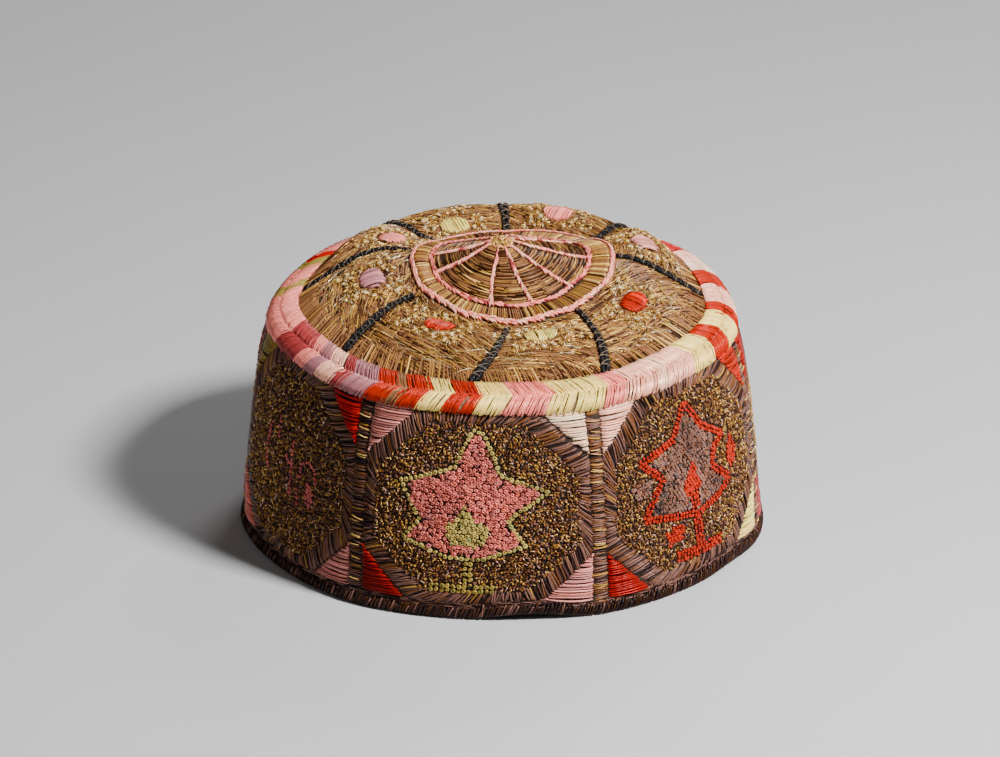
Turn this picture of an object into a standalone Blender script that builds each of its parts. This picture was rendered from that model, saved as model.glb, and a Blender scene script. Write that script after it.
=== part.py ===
"""An embroidered skullcap: a quilted side band, a domed crown, a padded rosette, and their trims.

The cap stands on its hem at z = 0 with the origin under its middle. +Z is up and -Y is its front.
Every piece is first drawn as a true ring round the Z axis and then passes through one shared
warp, settled(), which gives the cap the uneven form of a worn, hand-sewn one.
"""

from math import atan2, cos, degrees, exp, hypot, pi, radians, sin, sqrt

import bpy
from mathutils import Vector

MM = 0.001

# Driving dimensions, in millimetres and degrees
BASE_RADIUS = 91.3
HEM_HEIGHT = 3.4
HEM_WIDTH = 4.4
RIM_HEIGHT = 75.6
BAND_WALL = 3.0
CROWN_WALL = 2.4
SEAT_GAP = 0.3
BRAID_SEAT = 0.4
BRAID_THICKNESS = 1.3
CORD_RADIUS = 1.15
ROUND_STEPS = 84
CROWN_STEPS = 80

# The band's outer line from the hem up to the crown's seam
BAND_LINE = (
    # height, radius
    (HEM_HEIGHT + SEAT_GAP, BASE_RADIUS),
    (15.0, 90.4),
    (29.0, 89.1),
    (43.0, 87.5),
    (55.0, 85.9),
    (64.0, 84.4),
    (70.5, 82.8),
    (RIM_HEIGHT, 80.6),
)

# The crown's outer line from its seam in to the middle
CROWN_LINE = (
    # radius, height
    (80.4, 76.4),
    (79.0, 77.8),
    (75.5, 79.4),
    (70.5, 80.9),
    (66.0, 83.6),
    (60.0, 86.3),
    (52.0, 88.2),
    (44.0, 88.3),
    (36.0, 87.2),
    (27.0, 86.6),
    (16.0, 86.2),
    (6.0, 86.0),
)

# The braid follows the band's and the crown's lines over the seam between them
BRAID_LINE = (
    # radius, height
    (82.0, 72.6),
    (80.9, 75.6),
    (79.0, 77.8),
    (75.5, 79.4),
    (70.6, 80.9),
)

# Where the upright strips between the band's seven panels stand, counted from +X
STRIP_ANGLES = (-175.0, -123.4, -68.7, -13.5, 36.5, 86.0, 135.5)
PANEL_FLATNESS = 1.5
PANEL_FADE = 37.0

# The crown's eight black cords, each leaning a little on its way out
CORD_PATHS = (
    # angle at the rosette, angle at the braid
    (-89.0, -98.0),
    (-46.0, -60.0),
    (9.0, 2.0),
    (42.0, 47.0),
    (88.0, 91.0),
    (129.0, 132.0),
    (161.0, 174.0),
    (210.0, 219.0),
)
CORD_START = 39.5
CORD_END = 69.0
CORD_POINTS = 13

# The puff between two cords fades in from the rosette and out towards the braid
QUILT_PUFF = 1.7
QUILT_ROUNDNESS = 0.6
QUILT_VALLEY = 0.35
QUILT_START = 33.0
QUILT_FADE_IN = 12.0
QUILT_FADE_OUT = 10.0

# Inside this radius a point belongs to the free crown, and outside it to the seam and the band
FREE_CROWN = 74.0

# How the cap leans and sags
RIM_TILT = 0.055
CROWN_TILT = 0.12
TILT_SPREAD = 24.0
RIDGE_RISE = 7.0
RIDGE_BACK = 5.0
RIDGE_SPREAD = 38.0
RIDGE_DIP = 0.18
RIDGE_DIP_WIDTH = 5.0
RIDGE_HALF_LENGTH = 36.0
RIDGE_END = 64.0
HEM_LIFTS = (
    # angle, height, angular spread
    (-84.0, 2.2, 15.0),
    (-30.0, 1.2, 12.0),
    (75.0, 1.4, 14.0),
)
LIFT_FADE = 26.0

# The padded rosette in the middle of the crown
ROSETTE_CENTRE = (3.5, 4.0)
ROSETTE_RADIUS = 35.5
ROSETTE_EDGE = 1.3
ROSETTE_RING = 27.5
ROSETTE_PEAK = 7.6
ROSETTE_SLOPE = 1.15
ROSETTE_SEAT = 0.5
ROSETTE_RIM = 0.4
PEAK_SHIFT = -4.5
ROSETTE_STEPS = 48

THREAD_BROWN = (0.13, 0.075, 0.035, 1.0)
HEM_BROWN = (0.07, 0.04, 0.045, 1.0)
BRAID_CREAM = (0.62, 0.40, 0.26, 1.0)
ROSETTE_BROWN = (0.19, 0.10, 0.045, 1.0)
CORD_BLACK = (0.012, 0.011, 0.013, 1.0)


def clear_scene():
    """Removes every object, so that the model starts from nothing."""
    for obj in list(bpy.data.objects):
        bpy.data.objects.remove(obj)


def cloth_material(name, colour, roughness):
    """A plain matt or silky thread finish."""
    material = bpy.data.materials.new(name)
    material.use_nodes = True
    shader = material.node_tree.nodes["Principled BSDF"]
    shader.inputs["Base Color"].default_value = colour
    shader.inputs["Roughness"].default_value = roughness
    shader.inputs["Metallic"].default_value = 0.0
    return material


def smooth_share(value):
    """0 below 0, 1 above 1, and a soft step between."""
    value = min(1.0, max(0.0, value))
    return value * value * (3 - 2 * value)


def turn_between(first, second):
    """The angle from one direction to another, from -180 to 180 degrees."""
    return (second - first + 180.0) % 360.0 - 180.0


def share_across(angle, edges):
    """How far across its own panel a direction lies, from 0 at one edge to 1 at the next."""
    for start, end in zip(edges, edges[1:] + edges[:1]):
        width = (end - start) % 360.0
        into = (angle - start) % 360.0
        if into < width:
            return into / width
    return 0.0


def line_value(line, at):
    """The second column of a table at a value of its first, along straight stretches."""
    rows = sorted(line)
    if at <= rows[0][0]:
        return rows[0][1]
    for (low, start), (high, end) in zip(rows, rows[1:]):
        if at <= high:
            return start + (end - start) * (at - low) / (high - low)
    return rows[-1][1]


def panel_bulge(angle):
    """How much a panel's middle is flatter than its corners, in millimetres."""
    across = share_across(angle, STRIP_ANGLES)
    return -PANEL_FLATNESS * sin(pi * across) ** 1.4


def cord_angle(path, radius):
    """The direction of a black cord at a distance from the middle."""
    inner, outer = path
    share = (radius - CORD_START) / (CORD_END - CORD_START)
    share = min(1.2, max(-0.2, share))
    return inner + turn_between(inner, outer) * share


def quilt_height(angle, radius):
    """The puff of the crown between two black cords."""
    edges = tuple(cord_angle(path, radius) % 360.0 for path in CORD_PATHS)
    start = edges.index(min(edges))
    across = share_across(angle % 360.0, edges[start:] + edges[:start])
    along = smooth_share((radius - QUILT_START) / QUILT_FADE_IN)
    along *= smooth_share((FREE_CROWN - radius) / QUILT_FADE_OUT)
    return QUILT_PUFF * along * (abs(sin(pi * across)) ** QUILT_ROUNDNESS - QUILT_VALLEY)


def ridge_height(x, y):
    """The ridge that runs from side to side under the rosette."""
    across = max(0.0, 1.0 - abs(y - RIDGE_BACK) / RIDGE_SPREAD)
    softened = across - RIDGE_DIP * exp(-((y - RIDGE_BACK) / RIDGE_DIP_WIDTH) ** 2)
    along = smooth_share((RIDGE_END - abs(x)) / (RIDGE_END - RIDGE_HALF_LENGTH))
    return RIDGE_RISE * softened * along


def hem_lift(angle, height):
    """Where the hem stands clear of what the cap rests on."""
    lift = 0.0
    for centre, rise, spread in HEM_LIFTS:
        share = min(1.0, abs(turn_between(centre, angle)) / spread)
        lift += rise * cos(pi / 2 * share) ** 2
    return lift * max(0.0, 1.0 - height / LIFT_FADE)


def settled(radius, angle, height):
    """The real place, in millimetres, of a point of the true round form."""
    spread = radius + panel_bulge(angle) * smooth_share((radius - PANEL_FADE) / PANEL_FADE)
    x = spread * cos(radians(angle))
    y = spread * sin(radians(angle))
    inward = smooth_share((FREE_CROWN - radius) / TILT_SPREAD)
    tilt = RIM_TILT + (CROWN_TILT - RIM_TILT) * inward
    z = height + tilt * y * min(1.0, height / RIM_HEIGHT) + hem_lift(angle, height)
    if radius < FREE_CROWN:
        z += ridge_height(x, y) + quilt_height(angle, radius)
    return x, y, z


def crown_height(x, y):
    """The crown's outer height over a point inside the braid."""
    radius = hypot(x, y)
    return settled(radius, degrees(atan2(y, x)), line_value(CROWN_LINE, radius))[2]


def finished(name, points, faces, material):
    """One closed, smooth-shaded mesh object from points in millimetres."""
    mesh = bpy.data.meshes.new(name)
    mesh.from_pydata([[v * MM for v in point] for point in points], [], faces)
    mesh.update()
    mesh.shade_smooth()
    mesh.set_sharp_from_angle(angle=radians(50))
    mesh.materials.append(material)
    obj = bpy.data.objects.new(name, mesh)
    bpy.context.scene.collection.objects.link(obj)
    return obj


def turned_ring(name, section, steps, material):
    """A closed section, drawn anticlockwise as radius and height, carried round the Z axis."""
    points = []
    for step in range(steps):
        angle = 360.0 * step / steps
        points += [settled(radius, angle, height) for radius, height in section]
    count = len(section)
    faces = []
    for step in range(steps):
        here, there = step * count, (step + 1) % steps * count
        for corner in range(count):
            after = (corner + 1) % count
            faces.append((here + corner, there + corner, there + after, here + after))
    return finished(name, points, faces, material)


def offset_line(line, distance):
    """A line of radius and height moved sideways; positive is outwards and up."""
    moved = []
    for index, (radius, height) in enumerate(line):
        before = line[max(0, index - 1)]
        after = line[min(len(line) - 1, index + 1)]
        along = Vector((after[0] - before[0], after[1] - before[1])).normalized()
        moved.append((radius + along.y * distance, height - along.x * distance))
    return moved


def make_band(material):
    """The upright quilted wall, on the hem and under the crown's seam."""
    outer = [(radius, height) for height, radius in BAND_LINE]
    inner = [(radius - BAND_WALL, height) for radius, height in outer]
    return turned_ring("side_band", outer + inner[::-1], ROUND_STEPS, material)


def make_hem(material):
    """The overcast edge: a round-cornered roll with a flat underside under the band's wall."""
    outside = BASE_RADIUS + 0.7
    inside = outside - HEM_WIDTH
    corner = 1.0
    section = [
        (inside, HEM_HEIGHT - corner),
        (inside, corner),
        (inside + corner, 0.0),
        (outside - corner, 0.0),
        (outside, corner),
        (outside, HEM_HEIGHT - corner),
        (outside - corner, HEM_HEIGHT),
        (inside + corner, HEM_HEIGHT),
    ]
    return turned_ring("hem_binding", section, ROUND_STEPS, material)


def make_crown(material):
    """The domed top: one closed wall, puffed between the cords and ridged from side to side."""
    seat = RIM_HEIGHT + SEAT_GAP
    over = [(80.4, seat), *CROWN_LINE]
    under = [(77.4, seat)]
    under += [(radius, height - CROWN_WALL) for radius, height in CROWN_LINE if radius < 77.0]
    rings = under[::-1] + over
    points = []
    for radius, height in rings:
        for step in range(CROWN_STEPS):
            points.append(settled(radius, 360.0 * step / CROWN_STEPS, height))
    middle = CROWN_LINE[-1][1]
    under_pole, top_pole = len(points), len(points) + 1
    points += [settled(0.0, 0.0, middle - CROWN_WALL), settled(0.0, 0.0, middle)]
    faces = []
    last = (len(rings) - 1) * CROWN_STEPS
    for step in range(CROWN_STEPS):
        after = (step + 1) % CROWN_STEPS
        for here in range(0, last, CROWN_STEPS):
            there = here + CROWN_STEPS
            faces.append((here + step, here + after, there + after, there + step))
        faces.append((after, step, under_pole))
        faces.append((last + step, last + after, top_pole))
    return finished("crown", points, faces, material)


def make_braid(material):
    """The herringbone braid, bent over the seam of band and crown."""
    under = offset_line(BRAID_LINE, BRAID_SEAT)
    over = offset_line(BRAID_LINE, BRAID_SEAT + BRAID_THICKNESS)
    return turned_ring("edge_braid", over + under[::-1], ROUND_STEPS, material)


def pad_height(share):
    """The rosette's thickness from its middle, share 0, to its edge, share 1."""
    ring = ROSETTE_RING / ROSETTE_RADIUS
    if share == 1.0:
        return ROSETTE_RIM
    if share >= ring:
        return ROSETTE_EDGE
    up = 1.0 - share / ring
    return ROSETTE_EDGE + (ROSETTE_PEAK - ROSETTE_EDGE) * up ** ROSETTE_SLOPE


def make_rosette(material):
    """The padded rosette, seated on the crown, with its low peak left of its middle."""
    shares = (1.0, 0.965, 0.87, 0.775, 0.62, 0.44, 0.26, 0.1)
    points, faces = [], []
    for layer in (0, 1):
        for share in shares:
            shift = PEAK_SHIFT * (1.0 - share)
            for step in range(ROSETTE_STEPS):
                angle = 2 * pi * step / ROSETTE_STEPS
                x = ROSETTE_CENTRE[0] + shift + ROSETTE_RADIUS * share * cos(angle)
                y = ROSETTE_CENTRE[1] + ROSETTE_RADIUS * share * sin(angle)
                rise = pad_height(share) if layer else 0.0
                points.append((x, y, crown_height(x, y) + ROSETTE_SEAT + rise))
    x, y = ROSETTE_CENTRE[0] + PEAK_SHIFT, ROSETTE_CENTRE[1]
    floor = crown_height(x, y) + ROSETTE_SEAT
    points += [(x, y, floor), (x, y, floor + ROSETTE_PEAK)]
    rings, steps = len(shares), ROSETTE_STEPS
    under_pole, top_pole = len(points) - 2, len(points) - 1
    for step in range(steps):
        after = (step + 1) % steps
        for ring in range(rings - 1):
            low, upper = ring * steps, (ring + 1) * steps
            faces.append((low + after, low + step, upper + step, upper + after))
            low, upper = low + rings * steps, upper + rings * steps
            faces.append((low + step, low + after, upper + after, upper + step))
        last = (rings - 1) * steps
        faces.append((last + after, last + step, under_pole))
        last += rings * steps
        faces.append((last + step, last + after, top_pole))
        faces.append((step, after, rings * steps + after, rings * steps + step))
    return finished("crown_rosette", points, faces, material)


def rosette_edge(angle, clearance):
    """How far from the Z axis the rosette's edge lies in a direction, with some clearance."""
    x, y = ROSETTE_CENTRE
    forward = x * cos(radians(angle)) + y * sin(radians(angle))
    reach = ROSETTE_RADIUS + clearance
    return forward + sqrt(reach * reach - x * x - y * y + forward * forward)


def make_cord(number, path, material):
    """One black cord, laid on the crown from the rosette to the braid."""
    curve = bpy.data.curves.new(f"seam_cord_{number}", "CURVE")
    curve.dimensions = "3D"
    curve.bevel_depth = CORD_RADIUS * MM
    curve.bevel_resolution = 1
    curve.use_fill_caps = True
    spline = curve.splines.new("POLY")
    spline.points.add(CORD_POINTS - 1)
    start = rosette_edge(path[0], SEAT_GAP)
    for index in range(CORD_POINTS):
        radius = start + (CORD_END - start) * index / (CORD_POINTS - 1)
        angle = radians(cord_angle(path, radius))
        x, y = radius * cos(angle), radius * sin(angle)
        nearby = [crown_height(x + dx, y + dy) for dx in (-1, 0, 1) for dy in (-1, 0, 1)]
        z = max(nearby) + CORD_RADIUS + SEAT_GAP
        spline.points[index].co = (x * MM, y * MM, z * MM, 1.0)
    curve.materials.append(material)
    cord = bpy.data.objects.new(f"seam_cord_{number}", curve)
    bpy.context.scene.collection.objects.link(cord)
    return cord


def main():
    clear_scene()
    make_band(cloth_material("knotted_band_silk", THREAD_BROWN, 0.7))
    make_hem(cloth_material("overcast_hem_silk", HEM_BROWN, 0.75))
    make_crown(cloth_material("couched_crown_thread", THREAD_BROWN, 0.6))
    make_braid(cloth_material("herringbone_silk", BRAID_CREAM, 0.55))
    make_rosette(cloth_material("rosette_silk", ROSETTE_BROWN, 0.6))
    black = cloth_material("black_cord_silk", CORD_BLACK, 0.5)
    for number, path in enumerate(CORD_PATHS, start=1):
        make_cord(number, path, black)


main()
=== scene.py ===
"""The looks of an embroidered skullcap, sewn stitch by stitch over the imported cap.

A handful of threads and knots are modelled once, and every stitch is a copy of one of them that
bends with the cloth under it. Lengths are in millimetres until a mesh is made.
"""

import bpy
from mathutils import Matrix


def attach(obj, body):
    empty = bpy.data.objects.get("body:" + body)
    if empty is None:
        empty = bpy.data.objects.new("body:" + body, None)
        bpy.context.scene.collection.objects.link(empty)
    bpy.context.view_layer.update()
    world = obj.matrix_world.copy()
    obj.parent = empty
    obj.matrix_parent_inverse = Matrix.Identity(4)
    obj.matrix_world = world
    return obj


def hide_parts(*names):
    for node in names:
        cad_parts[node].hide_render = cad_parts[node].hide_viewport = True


bl_info = {
    "name": "Embroidered skullcap",
    "version": (1, 0, 0),
    "blender": (4, 5, 0),
    "location": "View3D > Sidebar > Skullcap",
    "description": "Sews the threads, knots, braid and rosette of a skullcap over its plain solids",
    "category": "Object",
}

from math import pi, radians

import bpy
import numpy as np
from bpy.props import FloatProperty, FloatVectorProperty, IntProperty, PointerProperty
from mathutils import Vector

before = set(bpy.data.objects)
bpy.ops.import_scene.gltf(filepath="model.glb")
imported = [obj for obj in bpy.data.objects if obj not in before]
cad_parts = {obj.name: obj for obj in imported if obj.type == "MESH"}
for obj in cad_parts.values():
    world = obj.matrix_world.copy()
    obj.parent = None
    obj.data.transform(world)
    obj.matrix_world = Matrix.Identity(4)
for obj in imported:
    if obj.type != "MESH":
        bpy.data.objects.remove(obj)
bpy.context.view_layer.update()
BODY = "root"
MM = 0.001

# The cap's form is its source's, where no comment says otherwise
RIM_HEIGHT = 75.6
# The band's outside from the hem up: height and radius
BAND_LINE = (
    (3.7, 91.3), (15.0, 90.4), (29.0, 89.1), (43.0, 87.5),
    (55.0, 85.9), (64.0, 84.4), (70.5, 82.8), (75.6, 80.6),
)
# The crown's outside from its middle out: radius and height
CROWN_LINE = (
    (0.0, 86.0), (6.0, 86.0), (16.0, 86.2), (27.0, 86.6), (36.0, 87.2), (44.0, 88.3),
    (52.0, 88.2), (60.0, 86.3), (66.0, 83.6), (70.5, 80.9), (75.5, 79.4), (79.0, 77.8),
)
# The seam under the braid, and the roll of the hem, from below: radius and height
BRAID_LINE = ((82.0, 72.6), (80.9, 75.6), (79.0, 77.8), (75.5, 79.4), (70.6, 80.9))
HEM_LINE = ((90.6, 0.45), (91.9, 0.9), (92.1, 2.4), (91.7, 3.8), (91.3, 5.6))
STRIP_ANGLES = (-175.0, -123.4, -68.7, -13.5, 36.5, 86.0, 135.5)
PANEL_FLATNESS = 1.5
PANEL_FADE = 37.0
# The black cords: the angle of each at the rosette and at the braid
CORD_PATHS = (
    (-89.0, -98.0), (-46.0, -60.0), (9.0, 2.0), (42.0, 47.0),
    (88.0, 91.0), (129.0, 132.0), (161.0, 174.0), (210.0, 219.0),
)
CORD_START = 39.5
CORD_END = 69.0
QUILT_PUFF = 1.7
QUILT_ROUNDNESS = 0.6
QUILT_VALLEY = 0.35
QUILT_START = 33.0
QUILT_FADE_IN = 12.0
QUILT_FADE_OUT = 10.0
FREE_CROWN = 74.0
RIM_TILT = 0.055
CROWN_TILT = 0.12
TILT_SPREAD = 24.0
RIDGE_RISE = 7.0
RIDGE_BACK = 5.0
RIDGE_SPREAD = 38.0
RIDGE_DIP = 0.18
RIDGE_DIP_WIDTH = 5.0
RIDGE_HALF_LENGTH = 36.0
RIDGE_END = 64.0
# The crown's back rim stands up to 2.4 mm prouder than its solid, and lies 3 mm lower by the rosette
BACK_SWELL = 2.4
BACK_DIP = 5.4
BACK_START = 6.0
BACK_FADE = 30.0
BACK_EDGE = 14.0
BACK_DIP_END = 64.0
BACK_DIP_FADE = 22.0
# Where the hem lifts off the floor: angle, height and angular spread
HEM_LIFTS = ((-84.0, 2.2, 15.0), (-30.0, 1.2, 12.0), (75.0, 1.4, 14.0))
LIFT_FADE = 26.0
ROSETTE_CENTRE = (3.5, 4.0)
ROSETTE_RADIUS = 35.5
ROSETTE_RING = 27.5
ROSETTE_EDGE = 1.3
ROSETTE_SEAT = 0.5
PEAK_SHIFT = -4.5
# The sewn rosette stands 1.6 mm higher than its solid, on a slightly steeper slope
ROSETTE_PEAK = 9.2
ROSETTE_SLOPE = 1.25

# The braid's stitches begin this far up its line, as they sit higher than its solid's lower edge
BRAID_LOW = 2.0

# Lengths round the cap are measured at these radii
PANEL_RADIUS = 87.0
BRAID_RADIUS = 79.0

# The band's layout inside each panel
STRIP_HALF = 2.3
CORNER_ACROSS = 17.0
CORNER_UP = 17.0
PANEL_LOW = 5.6
PANEL_HIGH = 75.4
SIDE_SATIN = 4.6
END_SATIN = 4.6
STRIP_FOOT = 4.6
# How far a frame's stitches slant, and how much coarser than they the corners' stitches are
FRAME_SLANT = 3.4
CORNER_PITCH = 1.14
CORNER_WIDTH = 1.12
CORNER_HEIGHT = 1.3
# The heights of the level rows above the hem, the step from stitch to stitch, and their length
HEM_ROWS = (3.9, 4.6, 5.2, 5.8)
HEM_ROW_PITCH = 3.1
HEM_ROW_STITCH = 4.2
# The share of the ground's small knots that have a glint of gilt thread on them, and of the crown's
# stitches that have a loose one
GLINT_SHARE = 0.3
LOOSE_GILT_SHARE = 0.13

# The crown's satin ends at this radius, and a fringe of closer stitches runs out under the braid
SATIN_EDGE = 68.5
FRINGE_PITCH = 0.6
FRINGE_START = 63.6
FRINGE_END = 71.6

# The rings of small gilt wheels round a flower's heart: the wheels' numbers, the ring's turn, the error
# of a wheel's turn, the ring's radius, and how far it is stretched round and out
WHEEL_RINGS = ((range(9), 0.0, 0.12, 8.4, 1.12, 0.95), (range(9, 13), 0.7, 0.2, 13.0, 1.15, 0.85))
# The stitches of one wheel, and half the width of a flower's heart
WHEEL_RAYS = 18
HEART_HALF = 5.0

# The rosette's rings and spokes: the radii of the satin between the rings, and the steps of each
ANNULUS_PITCH = 0.68
ANNULUS_START = 28.0
ANNULUS_END = 34.5
SEGMENT_PITCH = 0.38
RING_RADII = ((34.9, "outer ring"), (27.4, "inner ring"))
RING_PITCH = 1.15
SPOKE_PITCH = 1.1
SPOKE_LENGTH = 27

# The step of the black cords' stitches, and how dark their ties are made
CORD_PITCH = 1.3
TIE_SHADE = 0.3
# The step of the braid's stitches, and how far each leans ahead
FLOSS_PITCH = 0.3
FLOSS_LEAN = 4.4

# Which strip's four corners have which silk, from the left above to the right below
CORNER_SILKS = (
    ("rose", "olive", "deep_red", "salmon"),
    ("deep_red", "mauve_pink", "mauve_pink", "scarlet"),
    ("silver_mauve", "pale_pink", "mauve_pink", "scarlet"),
    ("orange_red", "scarlet", "cream", "rose"),
    ("deep_red", "cream", "mauve", "rose"),
    ("rose", "scarlet", "cream", "mauve_pink"),
    ("mauve_pink", "pale_pink", "deep_red", "olive"),
)

# The braid's silks and the angles where each begins
BRAID_SILKS = (
    (-180.0, "salmon"), (-163.0, "rose"), (-152.0, "salmon"), (-147.5, "mauve"), (-143.0, "pale_pink"),
    (-137.0, "rose"), (-133.5, "mauve"), (-125.0, "orange_red"), (-119.8, "thread_brown"),
    (-117.0, "orange_red"), (-111.0, "cream"), (-105.0, "orange_red"), (-98.0, "cream"), (-91.0, "salmon"),
    (-80.0, "cream"), (-66.0, "salmon"), (-60.0, "pale_pink"), (-49.0, "silver_mauve"), (-47.0, "pale_pink"),
    (-37.0, "cream"), (-27.5, "orange_red"), (-20.0, "cream"), (-11.0, "orange_red"), (-4.0, "pale_pink"),
    (7.0, "orange_red"), (17.0, "silver_mauve"), (25.0, "pale_pink"), (32.0, "deep_red"), (41.0, "cream"),
    (52.0, "salmon"), (61.0, "orange_red"), (69.0, "cream"), (80.0, "pale_pink"), (91.0, "mauve"),
    (98.0, "orange_red"), (106.0, "cream"), (116.0, "salmon"), (124.0, "deep_red"), (132.0, "mauve_pink"),
    (138.0, "salmon"), (146.0, "deep_red"), (151.0, "olive"), (157.0, "salmon"), (168.0, "olive"),
    (173.0, "salmon"),
)

# Each kind of sewing: how uneven its shades are, and its silks with the share of each
MIXES = {
    "hem": (0.2, {"hem_purple": 5, "purple_brown": 1, "dark_brown": 3}),
    "hem rows": (0.2, {"hem_purple": 1, "purple_brown": 1}),
    "strip": (0.25, {"purple_brown": 5, "seed_brown": 4, "hem_purple": 2, "gilt_brown": 1}),
    "frame": (0.25, {"purple_brown": 7, "seed_brown": 3, "hem_purple": 3, "gilt_brown": 0.5}),
    "seeds": (0.3, {"dark_brown": 34, "seed_brown": 38, "gilt_brown": 9, "purple_brown": 16}),
    "glints": (0.25, {"gilt": 4, "gilt_brown": 5, "silver_mauve": 2}),
    "crown": (0.34, {"thread_brown": 6, "dark_brown": 4, "gilt_brown": 1.6, "gilt": 0.3}),
    "fringe": (0.3, {"thread_brown": 6, "dark_brown": 3, "gilt_brown": 1.6, "gilt": 0.4}),
    "loose gilt": (0.15, {"gilt": 3, "pale_gilt": 1}),
    "flower ground": (0.3, {"dark_brown": 4, "gilt_brown": 1, "thread_brown": 4}),
    "wheels": (0.3, {"gilt": 4, "pale_gilt": 2, "gilt_brown": 3}),
    "annulus": (0.2, {"thread_brown": 5, "dark_brown": 2, "gilt_brown": 4, "gilt": 1.5}),
    "segments": (0.36, {"thread_brown": 6, "dark_brown": 5, "gilt_brown": 1.4, "gilt": 0.6}),
    "outer ring": (0.22, {"salmon": 3, "pale_pink": 2}),
    "inner ring": (0.22, {"salmon": 3, "rose": 2}),
    "spokes": (0.2, {"salmon": 3, "pale_pink": 3, "rose": 1}),
    "peak": (0.2, {"gilt": 4, "gilt_brown": 3, "salmon": 1}),
}
UNDYED = (1.0, 1.0, 1.0)

# The crown's flowers: distance from the middle, direction and the silk of the heart
FLOWERS = (
    (41.5, -121.0, "orange_red"),
    (45.0, -73.5, "cream"),
    (50.5, -27.0, "orange_red"),
    (54.5, 23.0, "mauve_pink"),
    (54.0, 68.0, "salmon"),
    (46.0, 112.0, "cream"),
    (46.0, 148.0, "salmon"),
    (46.0, 192.0, "mauve"),
)
SPOKE_ANGLES = (-158.0, -105.0, -74.0, -41.0, 0.0, 34.0, 70.0, 108.0, 144.0, 176.0)

# The knotted figures of the panels, in millimetres across from a panel's middle and up from the hem.
# A region is an outline and its silk; a line is a route, its silk and its number of knot rows. The
# size of a figure's knots goes by the knot pitch.
STAR_EDGE = (
    (-26.0, 49.4), (-19.0, 36.0), (-24.6, 29.0), (-10.4, 23.2), (1.8, 22.6), (16.6, 28.0),
    (11.0, 36.8), (13.4, 39.8), (24.8, 47.4), (8.0, 53.8), (6.2, 60.0), (2.2, 68.4),
    (-1.2, 69.2), (-4.8, 62.8), (-7.2, 56.2), (-13.0, 54.0),
)
PINK_STAR = {
    "knots": 1.3,
    "regions": (
        (STAR_EDGE, "star_pink"),
        (
            ((-3.6, 43.6), (-1.2, 38.4), (4.0, 34.2), (3.4, 29.0), (0.4, 27.0), (-7.6, 27.6),
             (-10.2, 31.4), (-8.8, 36.0), (-5.6, 38.6)),
            "leaf_green",
        ),
    ),
    "lines": (
        (STAR_EDGE + STAR_EDGE[:1], "leaf_green", 1),
        (((-2.4, 21.0), (-2.6, 13.0)), "olive", 2),
        (((-14.5, 11.6), (5.6, 11.2)), "olive", 2),
    ),
}
RED_TREE = {
    "knots": 1.1,
    "regions": (
        (
            ((-2.0, 66.0), (5.3, 56.4), (12.0, 51.0), (9.8, 46.4), (9.6, 41.0), (18.4, 32.6), (5.0, 28.4),
             (0.0, 26.0), (-24.0, 31.0), (-15.6, 44.0), (-24.8, 51.6), (-9.6, 56.0)),
            "knot_mauve",
        ),
        (((-1.6, 46.6), (1.6, 40.4), (3.2, 36.0), (-0.6, 33.4), (-4.6, 33.2), (-6.8, 36.4), (-4.2, 40.6)),
         "orange_red"),
        (((21.6, 48.0), (25.4, 43.0), (25.0, 37.0), (21.4, 36.0), (19.0, 40.6)), "orange_red"),
        (((-12.0, 25.4), (-7.0, 24.2), (-8.2, 18.4), (-14.6, 18.4), (-15.8, 23.4)), "orange_red"),
        (((-29.0, 44.0), (-25.4, 46.6), (-20.6, 44.0), (-21.4, 39.0), (-27.4, 38.4)), "knot_mauve"),
    ),
    "lines": (
        (((-2.0, 67.6), (5.3, 57.0), (17.8, 49.6), (11.2, 46.8), (9.8, 40.6), (19.4, 32.6), (12.6, 29.0),
          (0.2, 26.4), (-24.4, 31.0), (-15.8, 44.0), (-25.2, 51.8), (-9.8, 56.2), (-2.0, 67.6)),
         "orange_red", 2),
        (((-1.4, 34.0), (-0.6, 26.0), (0.8, 13.6)), "orange_red", 3),
        (((-10.5, 13.2), (11.0, 12.2)), "orange_red", 3),
    ),
}
ROSE_RINGS = {
    "knots": 1.15,
    "regions": (
        (((14.0, 37.0), (17.6, 36.0), (18.2, 31.0), (16.2, 27.4), (14.0, 32.0)), "faded_rose"),
    ),
    "lines": (
        (((10.0, 38.0), (10.6, 42.6), (14.4, 44.8), (18.2, 42.8), (19.0, 38.6)), "faded_rose", 1),
        (((4.6, 48.6), (4.4, 30.0)), "faded_rose", 1),
        (((0.4, 42.0), (2.6, 41.0), (4.6, 38.0)), "faded_rose", 1),
        (((-6.0, 54.0), (-5.6, 47.0)), "faded_rose", 1),
        (((-12.0, 50.0), (-14.6, 41.0), (-12.6, 33.0)), "faded_rose", 1),
        (((9.0, 33.0), (9.4, 27.6)), "faded_rose", 1),
    ),
}
PANEL_FIGURES = (ROSE_RINGS, PINK_STAR, RED_TREE, PINK_STAR, ROSE_RINGS, RED_TREE, PINK_STAR)


def linear(hex_text):
    """The linear colour of an sRGB hex value."""
    values = []
    for start in (1, 3, 5):
        value = int(hex_text[start:start + 2], 16) / 255
        values.append(value / 12.92 if value <= 0.04045 else ((value + 0.055) / 1.055) ** 2.4)
    return tuple(values)


def silk(name, description, hex_text):
    """A colour that a user can change, with a dye's usual shade as its default."""
    return FloatVectorProperty(
        name=name, description=description, subtype="COLOR", size=3, min=0, max=1, default=linear(hex_text)
    )


def length(name, description, millimetres):
    """A length that a user can change."""
    return FloatProperty(
        name=name, description=description, unit="LENGTH", precision=5, min=0.0001, default=millimetres * MM
    )


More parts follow.
